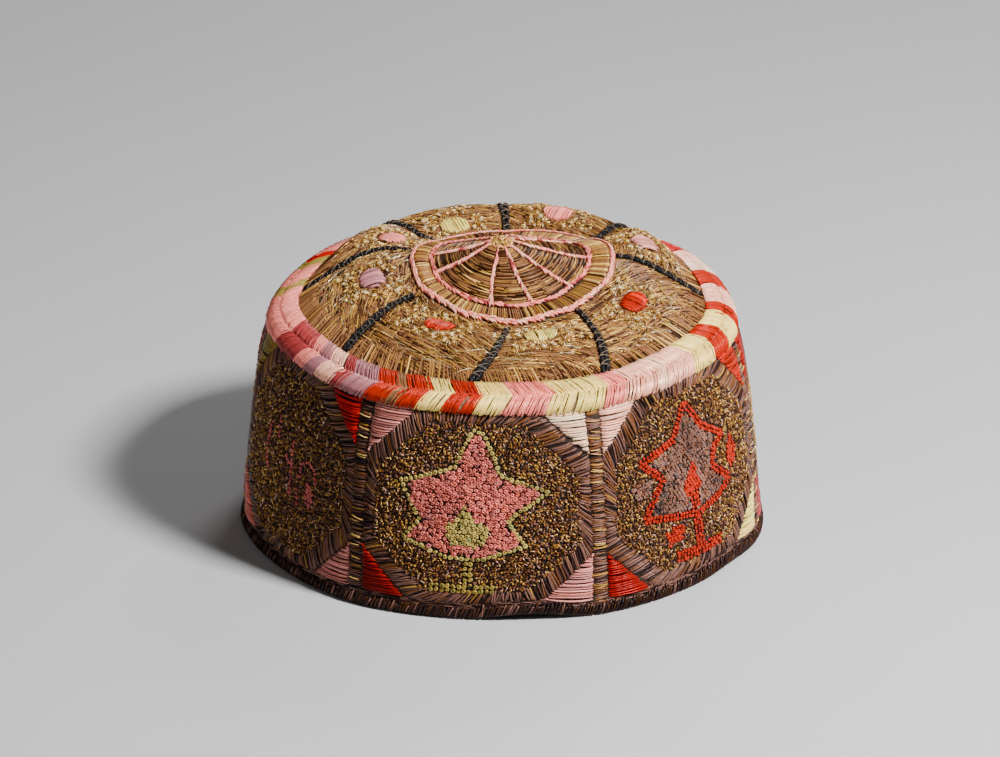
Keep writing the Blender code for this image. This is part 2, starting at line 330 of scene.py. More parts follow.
class SkullcapSilks(bpy.types.PropertyGroup):
    """The dyed silks and wrapped threads of the embroidery."""

    thread_brown: silk("Brown", "Satin of the crown and the rosette", "#8A5C38")
    dark_brown: silk("Dark brown", "Darkest thread of the brown satin", "#40230F")
    purple_brown: silk("Purple brown", "Satin round each panel", "#745044")
    seed_brown: silk("Seed brown", "Small knots of the band's ground", "#704426")
    hem_purple: silk("Hem", "Overcasting along the hem", "#2C1A18")
    gilt_brown: silk("Gilt brown", "Tarnished metal-wrapped thread", "#AC7C34")
    gilt: silk("Gilt", "Metal-wrapped thread", "#ECBE66")
    pale_gilt: silk("Pale gilt", "Lighter metal-wrapped thread", "#FAE4B4")
    orange_red: silk("Orange red", "Flower hearts, tree and braid", "#AC1E00")
    scarlet: silk("Scarlet", "Lower corners", "#8E0A00")
    deep_red: silk("Deep red", "Upper corners", "#BC0800")
    salmon: silk("Salmon", "Braid and rosette rings", "#F8887A")
    rose: silk("Rose", "Braid behind the left", "#9A3636")
    pale_pink: silk("Pale pink", "Braid and corners", "#FFB89C")
    star_pink: silk("Star pink", "Knots of the star", "#D46C60")
    faded_rose: silk("Faded rose", "Rings of the dark panel", "#C45E58")
    cream: silk("Cream", "Braid, corners and flower hearts", "#FADA78")
    leaf_green: silk("Leaf green", "Outline and leaf of the star", "#B09A50")
    olive: silk("Olive", "Braid and corners behind the left", "#9C823A")
    mauve: silk("Mauve", "Braid and corners", "#A4686C")
    mauve_pink: silk("Mauve pink", "Corners", "#D2867C")
    silver_mauve: silk("Silver mauve", "Corners", "#F4C8A8")
    knot_mauve: silk("Knot mauve", "Knots inside the red outline", "#7E5648")
    black: silk("Black", "Couched cords", "#0A0809")


class SkullcapSizes(bpy.types.PropertyGroup):
    """The spacing and thickness of the threads."""

    seed_pitch: length("Seed pitch", "Distance between the small ground knots", 1.06)
    knot_pitch: length("Knot pitch", "Distance between the looped knots of a figure", 1.4)
    satin_pitch: length("Satin pitch", "Distance between two satin stitches", 0.74)
    satin_width: length("Satin width", "Width of a satin stitch", 0.86)
    satin_height: length("Satin height", "How far a satin stitch stands up", 0.52)
    cloth_steps: IntProperty(
        name="Cloth steps", description="Steps round the ground cloth", default=252, min=84
    )


def smooth_share(value):
    """0 below 0, 1 above 1, and a soft step between."""
    value = np.clip(value, 0.0, 1.0)
    return value * value * (3 - 2 * value)


def turn_between(first, second):
    """The angle from one direction to another, from -180 to 180 degrees."""
    return (second - first + 180.0) % 360.0 - 180.0


def share_across(angle, edges):
    """How far across its own stretch each direction lies, between edges that go round in order."""
    across = np.zeros(np.broadcast(angle, edges[0]).shape)
    for start, end in zip(edges, edges[1:] + edges[:1]):
        width = (end - start) % 360.0
        into = (angle - start) % 360.0
        across = np.where(into < width, into / width, across)
    return across


def cord_angle(path, radius):
    """The direction of a black cord at a distance from the middle."""
    inner, outer = path
    share = np.clip((radius - CORD_START) / (CORD_END - CORD_START), -0.2, 1.2)
    return inner + turn_between(inner, outer) * share


def settled(radius, angle, height):
    """The real place of points of the true round form, leaning and sagging as a worn cap does."""
    radius, angle, height = np.broadcast_arrays(radius, angle, height)
    flat = PANEL_FLATNESS * np.abs(np.sin(pi * share_across(angle, STRIP_ANGLES))) ** 1.4
    spread = radius - flat * smooth_share((radius - PANEL_FADE) / PANEL_FADE)
    x = spread * np.cos(np.radians(angle))
    y = spread * np.sin(np.radians(angle))
    inward = smooth_share((FREE_CROWN - radius) / TILT_SPREAD)
    tilt = RIM_TILT + (CROWN_TILT - RIM_TILT) * inward
    z = height + tilt * y * np.minimum(1.0, height / RIM_HEIGHT)
    for centre, rise, reach in HEM_LIFTS:
        share = np.minimum(1.0, np.abs(turn_between(centre, angle)) / reach)
        z = z + rise * np.cos(pi / 2 * share) ** 2 * np.maximum(0.0, 1.0 - height / LIFT_FADE)
    across = np.maximum(0.0, 1.0 - np.abs(y - RIDGE_BACK) / RIDGE_SPREAD)
    across = across - RIDGE_DIP * np.exp(-(((y - RIDGE_BACK) / RIDGE_DIP_WIDTH) ** 2))
    ridge = RIDGE_RISE * across * smooth_share((RIDGE_END - np.abs(x)) / (RIDGE_END - RIDGE_HALF_LENGTH))
    puff = np.abs(np.sin(pi * share_across(angle, [cord_angle(path, radius) for path in CORD_PATHS])))
    puff = QUILT_PUFF * (puff ** QUILT_ROUNDNESS - QUILT_VALLEY)
    puff = puff * smooth_share((radius - QUILT_START) / QUILT_FADE_IN)
    puff = puff * smooth_share((FREE_CROWN - radius) / QUILT_FADE_OUT)
    behind = smooth_share((y - BACK_START) / BACK_FADE) * smooth_share((FREE_CROWN - radius) / BACK_EDGE)
    puff = puff + behind * (BACK_SWELL - BACK_DIP * smooth_share((BACK_DIP_END - radius) / BACK_DIP_FADE))
    return np.stack((x, y, z + np.where(radius < FREE_CROWN, ridge + puff, 0.0)), axis=-1)


class Rail:
    """A softened line that a turned surface follows, measured along its length."""

    def __init__(self, line, softness=4.0, step=0.25):
        line = np.array(line, float)
        run = np.concatenate(([0.0], np.cumsum(np.hypot(*np.diff(line, axis=0).T))))
        self.length = run[-1]
        count = int(self.length / step) + 1
        self.run = np.linspace(0.0, self.length, count)
        rough = np.stack([np.interp(self.run, run, line[:, column]) for column in (0, 1)], axis=1)
        half = max(1, int(softness / step / 2))
        ends = (2 * rough[0] - rough[half:0:-1], 2 * rough[-1] - rough[-2:-half - 2:-1])
        padded = np.concatenate((ends[0], rough, ends[1]))
        window = np.hanning(2 * half + 3)[1:-1]
        window = window / window.sum()
        self.line = np.stack([np.convolve(padded[:, column], window, "valid") for column in (0, 1)], axis=1)
        along = np.gradient(self.line, axis=0)
        along = along / np.hypot(*along.T)[:, None]
        self.normal = np.stack((along[:, 1], -along[:, 0]), axis=1)

    def at(self, over, lift):
        """The two columns of the line at a length along it, moved sideways by a lift."""
        return tuple(
            np.interp(over, self.run, self.line[:, column])
            + lift * np.interp(over, self.run, self.normal[:, column])
            for column in (0, 1)
        )


def softened(line, softness=7.0):
    """A table of two columns as a soft curve, for np.interp."""
    rail = Rail(line, softness)
    order = np.argsort(rail.line[:, 0])
    return rail.line[order, 0], rail.line[order, 1]


BAND_CURVE = softened(BAND_LINE)
CROWN_CURVE = softened(CROWN_LINE)
BRAID_RAIL = Rail(BRAID_LINE, 3.0)
HEM_RAIL = Rail(HEM_LINE, 1.5)
BRAID_SEAT = 0.4
# The cloth lies this far inside the solids, so that the stitches on it reach their faces
CLOTH_DEPTH = 0.5
# The band's lowest edge, the radii where the crown's cloth and its lining end, and the two thicknesses
BAND_FOOT = 3.9
CROWN_EDGE = 79.0
LINING_EDGE = 77.5
BAND_WALL = 2.5
CROWN_WALL = 1.9
# The hem's roll, from its outside round over its flat underside: radius and height
HEM_SECTION = (
    (91.5, 1.0), (91.6, 2.3), (91.0, 3.4), (88.7, 3.4), (87.7, 2.4), (87.7, 1.0), (88.6, 0.0), (90.6, 0.0),
)
# The overcast stitches' spacing, how far each leans along the hem, and how far it goes up over it
HEM_PITCH = 0.66
HEM_LEAN = 1.9
HEM_RISE = 5.0


def on_band(across, height, lift):
    """A place on the band, from a length round it, a height and a distance out from its cloth."""
    radius = np.interp(height, *BAND_CURVE) - CLOTH_DEPTH + lift
    return settled(radius, np.degrees(across / PANEL_RADIUS), height)


def on_crown(x, y, lift):
    """A place on the crown, from its place seen from above and a distance up from its cloth."""
    radius = np.hypot(x, y)
    height = np.interp(radius, *CROWN_CURVE) - CLOTH_DEPTH + lift
    return settled(radius, np.degrees(np.arctan2(y, x)), height)


def pad_height(share):
    """The rosette's thickness from its middle, share 0, to its edge, share 1."""
    up = np.maximum(0.0, 1.0 - share * ROSETTE_RADIUS / ROSETTE_RING)
    rise = ROSETTE_EDGE + (ROSETTE_PEAK - ROSETTE_EDGE) * up ** ROSETTE_SLOPE
    return rise * smooth_share((1.02 - share) / 0.07)


def on_rosette(x, y, lift):
    """A place on the rosette, measured from its own centre; its peak leans to the left."""
    share = np.hypot(x, y) / ROSETTE_RADIUS
    x = x + ROSETTE_CENTRE[0] + PEAK_SHIFT * np.maximum(0.0, 1.0 - share)
    y = y + ROSETTE_CENTRE[1]
    return on_crown(x, y, ROSETTE_SEAT + pad_height(share) + lift)


def on_cord(path):
    """Places along one black cord, from a distance from the cap's middle and a length across the cord."""
    def place(radius, sideways, lift):
        angle = np.radians(cord_angle(path, radius))
        x = radius * np.cos(angle) - sideways * np.sin(angle)
        y = radius * np.sin(angle) + sideways * np.cos(angle)
        return on_crown(x, y, lift)

    return place


def on_braid(along, over, lift):
    """A place on the braid, from a length round the cap and a length up and in over the seam."""
    radius, height = BRAID_RAIL.at(over, BRAID_SEAT + lift)
    return settled(radius, np.degrees(along / BRAID_RADIUS), height)


def on_hem(along, over, lift):
    """A place on the hem, from a length round the cap and a length up over its roll."""
    radius, height = HEM_RAIL.at(over, lift)
    return settled(radius, np.degrees(along / PANEL_RADIUS), height)


def only(obj):
    """Makes one object the selected and active one."""
    bpy.ops.object.select_all(action="DESELECT")
    obj.select_set(True)
    bpy.context.view_layer.objects.active = obj


class Shape:
    """One modelled thread or knot as arrays, ready to be repeated. It takes the object away."""

    def __init__(self, obj):
        only(obj)
        bpy.ops.object.mode_set(mode="EDIT")
        bpy.ops.mesh.select_all(action="SELECT")
        bpy.ops.mesh.normals_make_consistent(inside=False)
        bpy.ops.mesh.quads_convert_to_tris()
        bpy.ops.object.mode_set(mode="OBJECT")
        mesh = obj.data
        self.points = np.array([vertex.co for vertex in mesh.vertices])
        self.faces = np.array([tuple(face.vertices) for face in mesh.polygons])
        upward = np.array([face.normal.z >= 0 for face in mesh.polygons])
        low, high = self.points.min(0), self.points.max(0)
        flat = (self.points - low) / (high - low)
        corners = flat[self.faces][:, :, :2] * (0.44, 0.9) + (0.03, 0.05)
        self.corners = np.where(upward[:, None, None], corners, corners + (0.5, 0.0))
        bpy.data.objects.remove(obj)


THREADS = {
    # along, thickness and dip of each ring of a thread
    "short": ((0.0, 0.5, 0.55), (0.14, 0.95, 0.0), (0.86, 0.95, 0.0), (1.0, 0.5, 0.55)),
    "long": ((0.0, 0.5, 0.6), (0.07, 0.9, 0.1), (0.25, 1.0, 0.0), (0.5, 1.0, 0.0), (0.75, 1.0, 0.0),
             (0.93, 0.9, 0.1), (1.0, 0.5, 0.6)),
    "fat": ((0.0, 0.35, 0.5), (0.18, 0.85, 0.1), (0.5, 1.0, 0.0), (0.82, 0.85, 0.1), (1.0, 0.35, 0.5)),
}
SHAPES = {}


def thread_shape(stations):
    """A three-sided thread along +X, one long, two wide and one high, whose ends dip into the cloth."""
    bpy.ops.mesh.primitive_circle_add(vertices=3, fill_type="NGON", rotation=(pi / 2, 0.0, pi / 2))
    obj = bpy.context.object
    bpy.ops.object.transform_apply(location=True, rotation=True, scale=True)
    bpy.ops.object.mode_set(mode="EDIT")
    bpy.ops.mesh.select_all(action="SELECT")
    bpy.ops.transform.translate(value=(0.0, 0.0, 0.5))
    bpy.ops.transform.resize(value=(1.0, 1.155, 0.667), center_override=(0.0, 0.0, 0.0))
    place, size, sunk = 0.0, 1.0, 0.0
    for along, thickness, dip in stations:
        if along > place:
            bpy.ops.mesh.extrude_region_move(TRANSFORM_OT_translate={"value": (along - place, 0.0, 0.0)})
        share = thickness / size
        bpy.ops.transform.resize(value=(1.0, share, share), center_override=(along, 0.0, -sunk))
        bpy.ops.transform.translate(value=(0.0, 0.0, sunk - dip))
        place, size, sunk = along, thickness, dip
    bpy.ops.object.mode_set(mode="OBJECT")
    return Shape(obj)


def shape(name):
    """The form of that name, modelled on its first use. Every stitch of the cap is a copy of one."""
    if name not in SHAPES:
        bpy.ops.object.select_all(action="DESELECT")
        if name in THREADS:
            SHAPES[name] = thread_shape(THREADS[name])
        else:
            if name == "seed":
                bpy.ops.mesh.primitive_ico_sphere_add(subdivisions=1, radius=1.0)
            else:
                bpy.ops.mesh.primitive_torus_add(
                    major_segments=7, minor_segments=4, major_radius=0.56, minor_radius=0.42
                )
            bpy.ops.transform.resize(value=(1.0, 1.0, 0.8), center_override=(0.0, 0.0, 0.0))
            bpy.ops.object.transform_apply(location=True, rotation=True, scale=True)
            SHAPES[name] = Shape(bpy.context.object)
    return SHAPES[name]


class Sewing:
    """The stitches of one piece, gathered before they become its mesh."""

    def __init__(self, place, seed):
        self.place = place
        self.chance = np.random.default_rng(seed)
        self.parts = []

    def dyed(self, base, count, spread, warm=0.05):
        """A slightly different shade of one dye for each stitch."""
        shade = np.exp(self.chance.normal(0, spread, (count, 1)))
        warmth = 1 + self.chance.normal(0, warm, (count, 1)) * np.array((1.0, 0.0, -1.0))
        return np.clip(np.array(base)[None] * shade * warmth, 0.0, 1.0)

    def in_silk(self, name, count, spread):
        """Shades of one silk."""
        return self.dyed(dyes([name])[0], count, spread)

    def mixed(self, mix, count):
        """A shade for each stitch, of silks that are drawn in the shares of one mix."""
        spread, shares = MIXES[mix]
        weights = np.array(list(shares.values()))
        choice = self.chance.choice(len(shares), count, p=weights / np.sum(weights))
        return self.dyed(UNDYED, count, spread) * dyes(shares)[choice]

    def stitches(self, form, start, end, colour, width, height, metal=0.0, seat=0.0, bow=0.0, arch=0.0):
        """Lays one copy of a thread between each start and end. The sizes may differ from copy to copy:
        width, height above its seat, share of metal, bow to the side and arch upwards."""
        start, end = np.atleast_2d(start), np.atleast_2d(end)
        count = len(start)
        if not count:
            return
        form = shape(form)
        width, height, seat, bow, arch, metal = (
            np.broadcast_to(value, count)[:, None] for value in (width, height, seat, bow, arch, metal)
        )
        run = end - start
        reach = np.maximum(np.hypot(*run.T), 1e-6)
        side = np.stack((-run[:, 1], run[:, 0]), axis=1) / reach[:, None]
        along, across, up = form.points.T
        rise = 4 * along * (1 - along)
        sideways = width / 2 * across + bow * rise
        flat = start[:, None] + run[:, None] * along[None, :, None] + side[:, None] * sideways[:, :, None]
        points = self.place(flat[:, :, 0], flat[:, :, 1], seat + arch * rise + height * up)
        threads = np.stack((reach[:, None] * along, width / 2 * across), axis=2)
        self.keep(form, points, threads, colour, metal[:, 0])

    def knots(self, form, centre, colour, size, height, metal=0.0, seat=0.0):
        """Sets one copy of a knot on each centre, turned, squeezed and tilted at random."""
        count = len(centre)
        form = shape(form)
        turn = self.chance.uniform(0, 2 * pi, count)[:, None]
        narrow = self.chance.uniform(0.68, 1.0, count)[:, None] * form.points[:, 1]
        tilt = self.chance.normal(0, 0.22, count)[:, None] * form.points[:, 0]
        size, height, seat = (np.broadcast_to(value, count)[:, None] for value in (size, height, seat))
        x = form.points[:, 0] * np.cos(turn) - narrow * np.sin(turn)
        y = form.points[:, 0] * np.sin(turn) + narrow * np.cos(turn)
        up = seat + height * (form.points[:, 2] + tilt)
        points = self.place(centre[:, :1] + size / 2 * x, centre[:, 1:] + size / 2 * y, up)
        threads = np.stack((size / 2 * x, size / 2 * y), axis=2)
        self.keep(form, points, threads, colour, metal)

    def keep(self, form, points, threads, colour, metal):
        """Adds the copies' points, with a colour and a share of metal for each copy."""
        colour = np.broadcast_to(colour, (len(points), 3))
        self.parts.append((form, points, threads, colour, np.broadcast_to(metal, len(points))))

    def make(self, name, material):
        """The gathered stitches as one mesh object that rides on the cap."""
        cells = sum(len(part[1]) for part in self.parts)
        across = int(np.ceil(np.sqrt(cells)))
        points, faces, corners, threads, colours, metals = [], [], [], [], [], []
        first, cell = 0, 0
        for form, part_points, part_threads, colour, metal in self.parts:
            count, size = part_points.shape[:2]
            points.append(part_points.reshape(-1, 3) * MM)
            offsets = first + size * np.arange(count)
            faces.append((form.faces[None] + offsets[:, None, None]).reshape(-1, 3))
            index = cell + np.arange(count)
            corner = np.stack((index % across, index // across), axis=1) / across
            corners.append((corner[:, None, None] + form.corners[None] / across).reshape(-1, 2))
            threads.append(part_threads[:, form.faces].reshape(-1, 2))
            colours.append(np.repeat(colour, size, axis=0))
            metals.append(np.repeat(metal, size))
            first += count * size
            cell += count
        points, faces = np.concatenate(points), np.concatenate(faces)
        mesh = bpy.data.meshes.new(name)
        mesh.vertices.add(len(points))
        mesh.loops.add(faces.size)
        mesh.polygons.add(len(faces))
        mesh.vertices.foreach_set("co", points.ravel().astype(np.float32))
        mesh.loops.foreach_set("vertex_index", faces.ravel().astype(np.int32))
        mesh.polygons.foreach_set("loop_start", np.arange(0, faces.size, 3, dtype=np.int32))
        mesh.update(calc_edges=True)
        baked = mesh.uv_layers.new(name="OFBake")
        baked.data.foreach_set("uv", np.concatenate(corners).ravel().astype(np.float32))
        along = mesh.uv_layers.new(name="thread")
        along.data.foreach_set("uv", np.concatenate(threads).ravel().astype(np.float32))
        dye = mesh.attributes.new("dye", "FLOAT_COLOR", "POINT")
        dye_values = np.concatenate((np.concatenate(colours), np.ones((len(points), 1))), axis=1)
        dye.data.foreach_set("color", dye_values.ravel().astype(np.float32))
        gilding = mesh.attributes.new("gilding", "FLOAT", "POINT")
        gilding.data.foreach_set("value", np.concatenate(metals).astype(np.float32))
        mesh.shade_smooth()
        mesh.validate()
        return placed(name, mesh, material)


def placed(name, mesh, material):
    """A mesh as an object of the cap, with its finish."""
    obj = bpy.data.objects.new(name, mesh)
    bpy.context.scene.collection.objects.link(obj)
    mesh.materials.clear()
    mesh.materials.append(material)
    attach(obj, BODY)
    return obj


def dyes(names):
    """The colours of silks, by their names."""
    silks = bpy.context.scene.skullcap_silks
    return np.array([tuple(getattr(silks, name)) for name in names])


def rays(turn):
    """Steps of one millimetre in directions given in radians, seen from above."""
    return np.stack((np.cos(turn), np.sin(turn)), axis=-1)


def polar(points):
    """How far points seen from above are from the middle, and their directions in degrees."""
    return np.hypot(*points.T), np.degrees(np.arctan2(points[:, 1], points[:, 0]))


def from_rosette(points):
    """How far points seen from above are from the rosette's centre."""
    return np.hypot(*(points - ROSETTE_CENTRE).T)


def inside(points, outline):
    """Which points lie inside a closed outline."""
    found = np.zeros(len(points), bool)
    x, y = points.T
    for (x0, y0), (x1, y1) in zip(outline, (*outline[1:], outline[0])):
        if y0 != y1:
            crosses = ((y0 > y) != (y1 > y)) & (x < (x1 - x0) * (y - y0) / (y1 - y0) + x0)
            found ^= crosses
    return found


def scattered(chance, low, high, pitch, jitter=0.18):
    """Points in shifted rows over a rectangle, each a little out of place."""
    rows = np.arange(low[1], high[1], pitch * 0.87)
    places = np.arange(low[0], high[0], pitch)
    x = places[None] + np.where(np.arange(len(rows)) % 2, pitch / 2, 0.0)[:, None]
    y = np.repeat(rows[:, None], len(places), axis=1)
    points = np.stack((x.ravel(), y.ravel()), axis=1)
    return points + chance.normal(0, jitter * pitch, points.shape)


def spaced(line, pitch):
    """Points along a route of straight stretches, with the direction at each."""
    line = np.array(line, float)
    run = np.concatenate(([0.0], np.cumsum(np.hypot(*np.diff(line, axis=0).T))))
    at = np.linspace(0, run[-1], max(2, int(round(run[-1] / pitch)) + 1))
    points = np.stack([np.interp(at, run, line[:, column]) for column in (0, 1)], axis=1)
    ahead = np.gradient(points, axis=0)
    return points, ahead / np.maximum(np.hypot(*ahead.T), 1e-6)[:, None]


def add_node(tree, kind, inputs=None, **settings):
    """A node with its settings, and its sockets set or linked."""
    node = tree.nodes.new(kind)
    for name, value in settings.items():
        setattr(node, name, value)
    for name, value in (inputs or {}).items():
        if isinstance(value, bpy.types.NodeSocket):
            tree.links.new(value, node.inputs[name])
        else:
            node.inputs[name].default_value = value
    return node


def new_material(name):
    """An empty material: its node tree and its surface shader."""
    material = bpy.data.materials.new(name)
    material.use_nodes = True
    return material, material.node_tree, material.node_tree.nodes["Principled BSDF"]


def fibre_bump(tree, stretch, strength):
    """Filaments along a thread, from its own map in millimetres: stretch is how many lie in each of them,
    along and across. Real filaments of 0.02 mm are too fine to show, so these are about ten times that."""
    run = add_node(tree, "ShaderNodeUVMap", uv_map="thread")
    fibres = add_node(tree, "ShaderNodeMapping", {"Vector": run.outputs["UV"], "Scale": stretch})
    noise = add_node(
        tree, "ShaderNodeTexNoise", {"Vector": fibres.outputs["Vector"], "Scale": 1.0, "Detail": 3.0}
    )
    bump = add_node(
        tree, "ShaderNodeBump", {"Height": noise.outputs["Fac"], "Strength": strength, "Distance": 0.0001}
    )
    return noise.outputs["Fac"], bump.outputs["Normal"]


def dyed_colour(tree, variation, contrast):
    """Each stitch's own dye, made a little lighter and darker along its filaments."""
    dye = add_node(tree, "ShaderNodeAttribute", attribute_name="dye")
    shade = add_node(
        tree, "ShaderNodeMapRange", {"Value": variation, "To Min": 1 - contrast, "To Max": 1 + contrast}
    )
    return add_node(
        tree, "ShaderNodeVectorMath", {0: dye.outputs["Color"], "Scale": shade.outputs["Result"]},
        operation="SCALE",
    ).outputs["Vector"]


def dye_silk(tree, shader, variation, contrast):
    """Links the dye to the surface. Light from inside a dyed filament tints its highlights too."""
    colour = dyed_colour(tree, variation, contrast)
    tint = add_node(
        tree, "ShaderNodeVectorMath", {0: colour, 1: (2.4, 2.4, 2.4), 2: (0.22, 0.22, 0.22)},
        operation="MULTIPLY_ADD",
    )
    tree.links.new(colour, shader.inputs["Base Color"])
    tree.links.new(tint.outputs["Vector"], shader.inputs["Specular Tint"])


def silk_material(name, stretch, strength, contrast):
    """Silk in its stitches' own dyes, with filaments: its material, node tree and shader."""
    material, tree, shader = new_material(name)
    variation, normal = fibre_bump(tree, stretch, strength)
    dye_silk(tree, shader, variation, contrast)
    tree.links.new(normal, shader.inputs["Normal"])
    return material, tree, shader


def reeled_silk_floss():
    """Reeled silk floss, untwisted and laid flat: long glossy lights along each stitch."""
    material, _, shader = silk_material("reeled_silk_floss", (0.5, 7.0, 1.0), 0.5, 0.45)
    shader.inputs["Roughness"].default_value = 0.33
    shader.inputs["IOR"].default_value = 1.56
    return material


def twisted_silk():
    """Plied silk drawn into knots: softer light than floss, with plies of 0.3 mm as small ridges."""
    material, _, shader = silk_material("twisted_silk", (3.0, 3.0, 1.0), 0.6, 0.5)
    shader.inputs["Roughness"].default_value = 0.32
    shader.inputs["IOR"].default_value = 1.6
    return material


def silk_with_gilt():
    """Silk among metal-wrapped thread: the wrapped stitches glint, and the rest stay soft."""
    material, tree, shader = silk_material("silk_with_gilt", (0.8, 6.0, 1.0), 0.5, 0.4)
    gilding = add_node(tree, "ShaderNodeAttribute", attribute_name="gilding").outputs["Fac"]
    metallic = add_node(tree, "ShaderNodeMath", {0: gilding, 1: 0.85}, operation="MULTIPLY")
    rough = add_node(tree, "ShaderNodeMapRange", {"Value": gilding, "To Min": 0.36, "To Max": 0.28})
    tree.links.new(metallic.outputs["Value"], shader.inputs["Metallic"])
    tree.links.new(rough.outputs["Result"], shader.inputs["Roughness"])
    return material


# The wave texture makes 10 / pi bands for each unit of its scale, so this gives half a band a yarn
WAVES_FOR_TWO_YARNS = 0.16


def woven_cotton(name, dark, light, spacing, roughness, directions=("X", "Z")):
    """Plain-woven cotton: two sets of yarns that cross, matt and a little uneven. On an upright wall they
    run along X and Z; cloth that lies level needs X and Y. Real yarns lie about 0.35 mm apart, which is
    too fine to show, so the spacing is about twice that. The weave repeats after two yarns."""
    material, tree, shader = new_material(name)
    place = add_node(tree, "ShaderNodeTexCoord").outputs["Object"]
    scale = 1.0 / (spacing * MM)
    weave = 1.0
    for direction in directions:
        yarns = add_node(
            tree, "ShaderNodeTexWave",
            {"Vector": place, "Scale": scale * WAVES_FOR_TWO_YARNS, "Distortion": 0.6, "Detail": 1.0},
            bands_direction=direction,
        )
        crossed = add_node(tree, "ShaderNodeMath", {0: yarns.outputs["Fac"], 1: weave}, operation="MULTIPLY")
        weave = crossed.outputs["Value"]
    cloudy = add_node(tree, "ShaderNodeTexNoise", {"Vector": place, "Scale": 60.0, "Detail": 4.0})
    both = add_node(tree, "ShaderNodeMath", {0: weave, 1: cloudy.outputs["Fac"]}, operation="MULTIPLY")
    colour = add_node(tree, "ShaderNodeValToRGB", {"Fac": both.outputs["Value"]})
    colour.color_ramp.elements[0].color = (*dark, 1.0)
    colour.color_ramp.elements[1].color = (*light, 1.0)
    colour.color_ramp.elements[1].position = 0.6
    bump = add_node(tree, "ShaderNodeBump", {"Height": weave, "Strength": 0.4, "Distance": 0.0002})
    tree.links.new(colour.outputs["Color"], shader.inputs["Base Color"])
    tree.links.new(bump.outputs["Normal"], shader.inputs["Normal"])
    shader.inputs["Roughness"].default_value = roughness
    return material


def brown_plain_cotton():
    """Brown plain-woven cotton under the stitches: its own brown, deepened with painted shade so the gaps
    between the threads read dark and matt.
    """
    return woven_cotton("brown_plain_cotton", linear("#1C120B"), linear("#3E2A1B"), 0.7, 0.9)


def undyed_plain_cotton():
    """Undyed plain-woven cotton under the braid: a warm, matt gap between pale threads."""
    return woven_cotton("undyed_plain_cotton", linear("#6E543C"), linear("#9A7C5C"), 0.7, 0.9)


def black_silk_cord():
    """Black silk cord, waxed and worn: deep black, with only a dull light along each strand."""
    material, tree, shader = new_material("black_silk_cord")
    variation, normal = fibre_bump(tree, (0.8, 4.0, 1.0), 0.5)
    tree.links.new(dyed_colour(tree, variation, 0.4), shader.inputs["Base Color"])
    tree.links.new(normal, shader.inputs["Normal"])
    shader.inputs["Roughness"].default_value = 0.5
    shader.inputs["Specular IOR Level"].default_value = 0.18
    return material


def glazed_cotton_lining():
    """Glazed plain cotton inside the cap: smoother, with a faint sheen."""
    return woven_cotton("glazed_cotton_lining", linear("#4A3A33"), linear("#6E5A4E"), 0.6, 0.6)


def level_cotton_lining():
    """The same glazed cotton where it lies level, under the crown."""
    dark, light = linear("#4A3A33"), linear("#6E5A4E")
    return woven_cotton("level_cotton_lining", dark, light, 0.6, 0.6, ("X", "Y"))


def matt_studio_paper():
    """Pale matt paper: no gloss, and a very slight unevenness about 300 mm wide."""
    material, tree, shader = new_material("matt_studio_paper")
    place = add_node(tree, "ShaderNodeTexCoord").outputs["Object"]
    grain = add_node(tree, "ShaderNodeTexNoise", {"Vector": place, "Scale": 3.0, "Detail": 3.0})
    shade = add_node(tree, "ShaderNodeValToRGB", {"Fac": grain.outputs["Fac"]})
    shade.color_ramp.elements[0].color = (*linear("#B8B8BA"), 1.0)
    shade.color_ramp.elements[1].color = (*linear("#C0C0C2"), 1.0)
    tree.links.new(shade.outputs["Color"], shader.inputs["Base Color"])
    shader.inputs["Roughness"].default_value = 0.85
    return material


def finish(maker):
    """A material, made on its first use."""
    return bpy.data.materials.get(maker.__name__) or maker()


def panels():
    """Each panel's number, the length round the cap to its middle, and half its width."""
    ends = STRIP_ANGLES[1:] + (STRIP_ANGLES[0] + 360.0,)
    for number, (start, end) in enumerate(zip(STRIP_ANGLES, ends)):
        middle = radians((start + end) / 2) * PANEL_RADIUS
        yield number, middle, radians(end - start) / 2 * PANEL_RADIUS


def cartouche(half, inset_side=0.0, inset_end=0.0, inset_corner=0.0):
    """A panel's eight-cornered frame, anticlockwise from its right side."""
    side = half - STRIP_HALF + 0.1 - inset_side
    low, high = PANEL_LOW + inset_end, PANEL_HIGH - inset_end
    across = CORNER_ACROSS - inset_side + inset_corner
    up = CORNER_UP - inset_end + inset_corner
    return (
        (side, low + up), (side, high - up), (side - across, high), (across - side, high),
        (-side, high - up), (-side, low + up), (across - side, low), (side - across, low),
    )


def band_section():
    """The band's wall: its cloth outside, and its lining inside."""
    heights = np.linspace(BAND_FOOT, PANEL_HIGH, 26)
    outer = [(float(np.interp(height, *BAND_CURVE)) - CLOTH_DEPTH, float(height)) for height in heights]
    return outer + [(radius - BAND_WALL, height) for radius, height in reversed(outer)]


def crown_section():
    """The crown's wall, from its seam up and in to the middle, and back along its lining."""
    radii = np.linspace(CROWN_EDGE, 0.0, 66)
    outer = [(float(radius), float(np.interp(radius, *CROWN_CURVE)) - CLOTH_DEPTH) for radius in radii]
    lining = [(radius, height - CROWN_WALL) for radius, height in reversed(outer) if radius < LINING_EDGE]
    return outer + lining


def braid_section():
    """The strip of cloth under the braid."""
    over = np.linspace(BRAID_LOW + 0.4, BRAID_RAIL.length - 0.5, 12)
    outer = np.stack(BRAID_RAIL.at(over, BRAID_SEAT + 0.25), axis=1)
    inner = np.stack(BRAID_RAIL.at(over[::-1], 0.0), axis=1)
    return [(float(radius), float(height)) for radius, height in np.concatenate((outer, inner))]


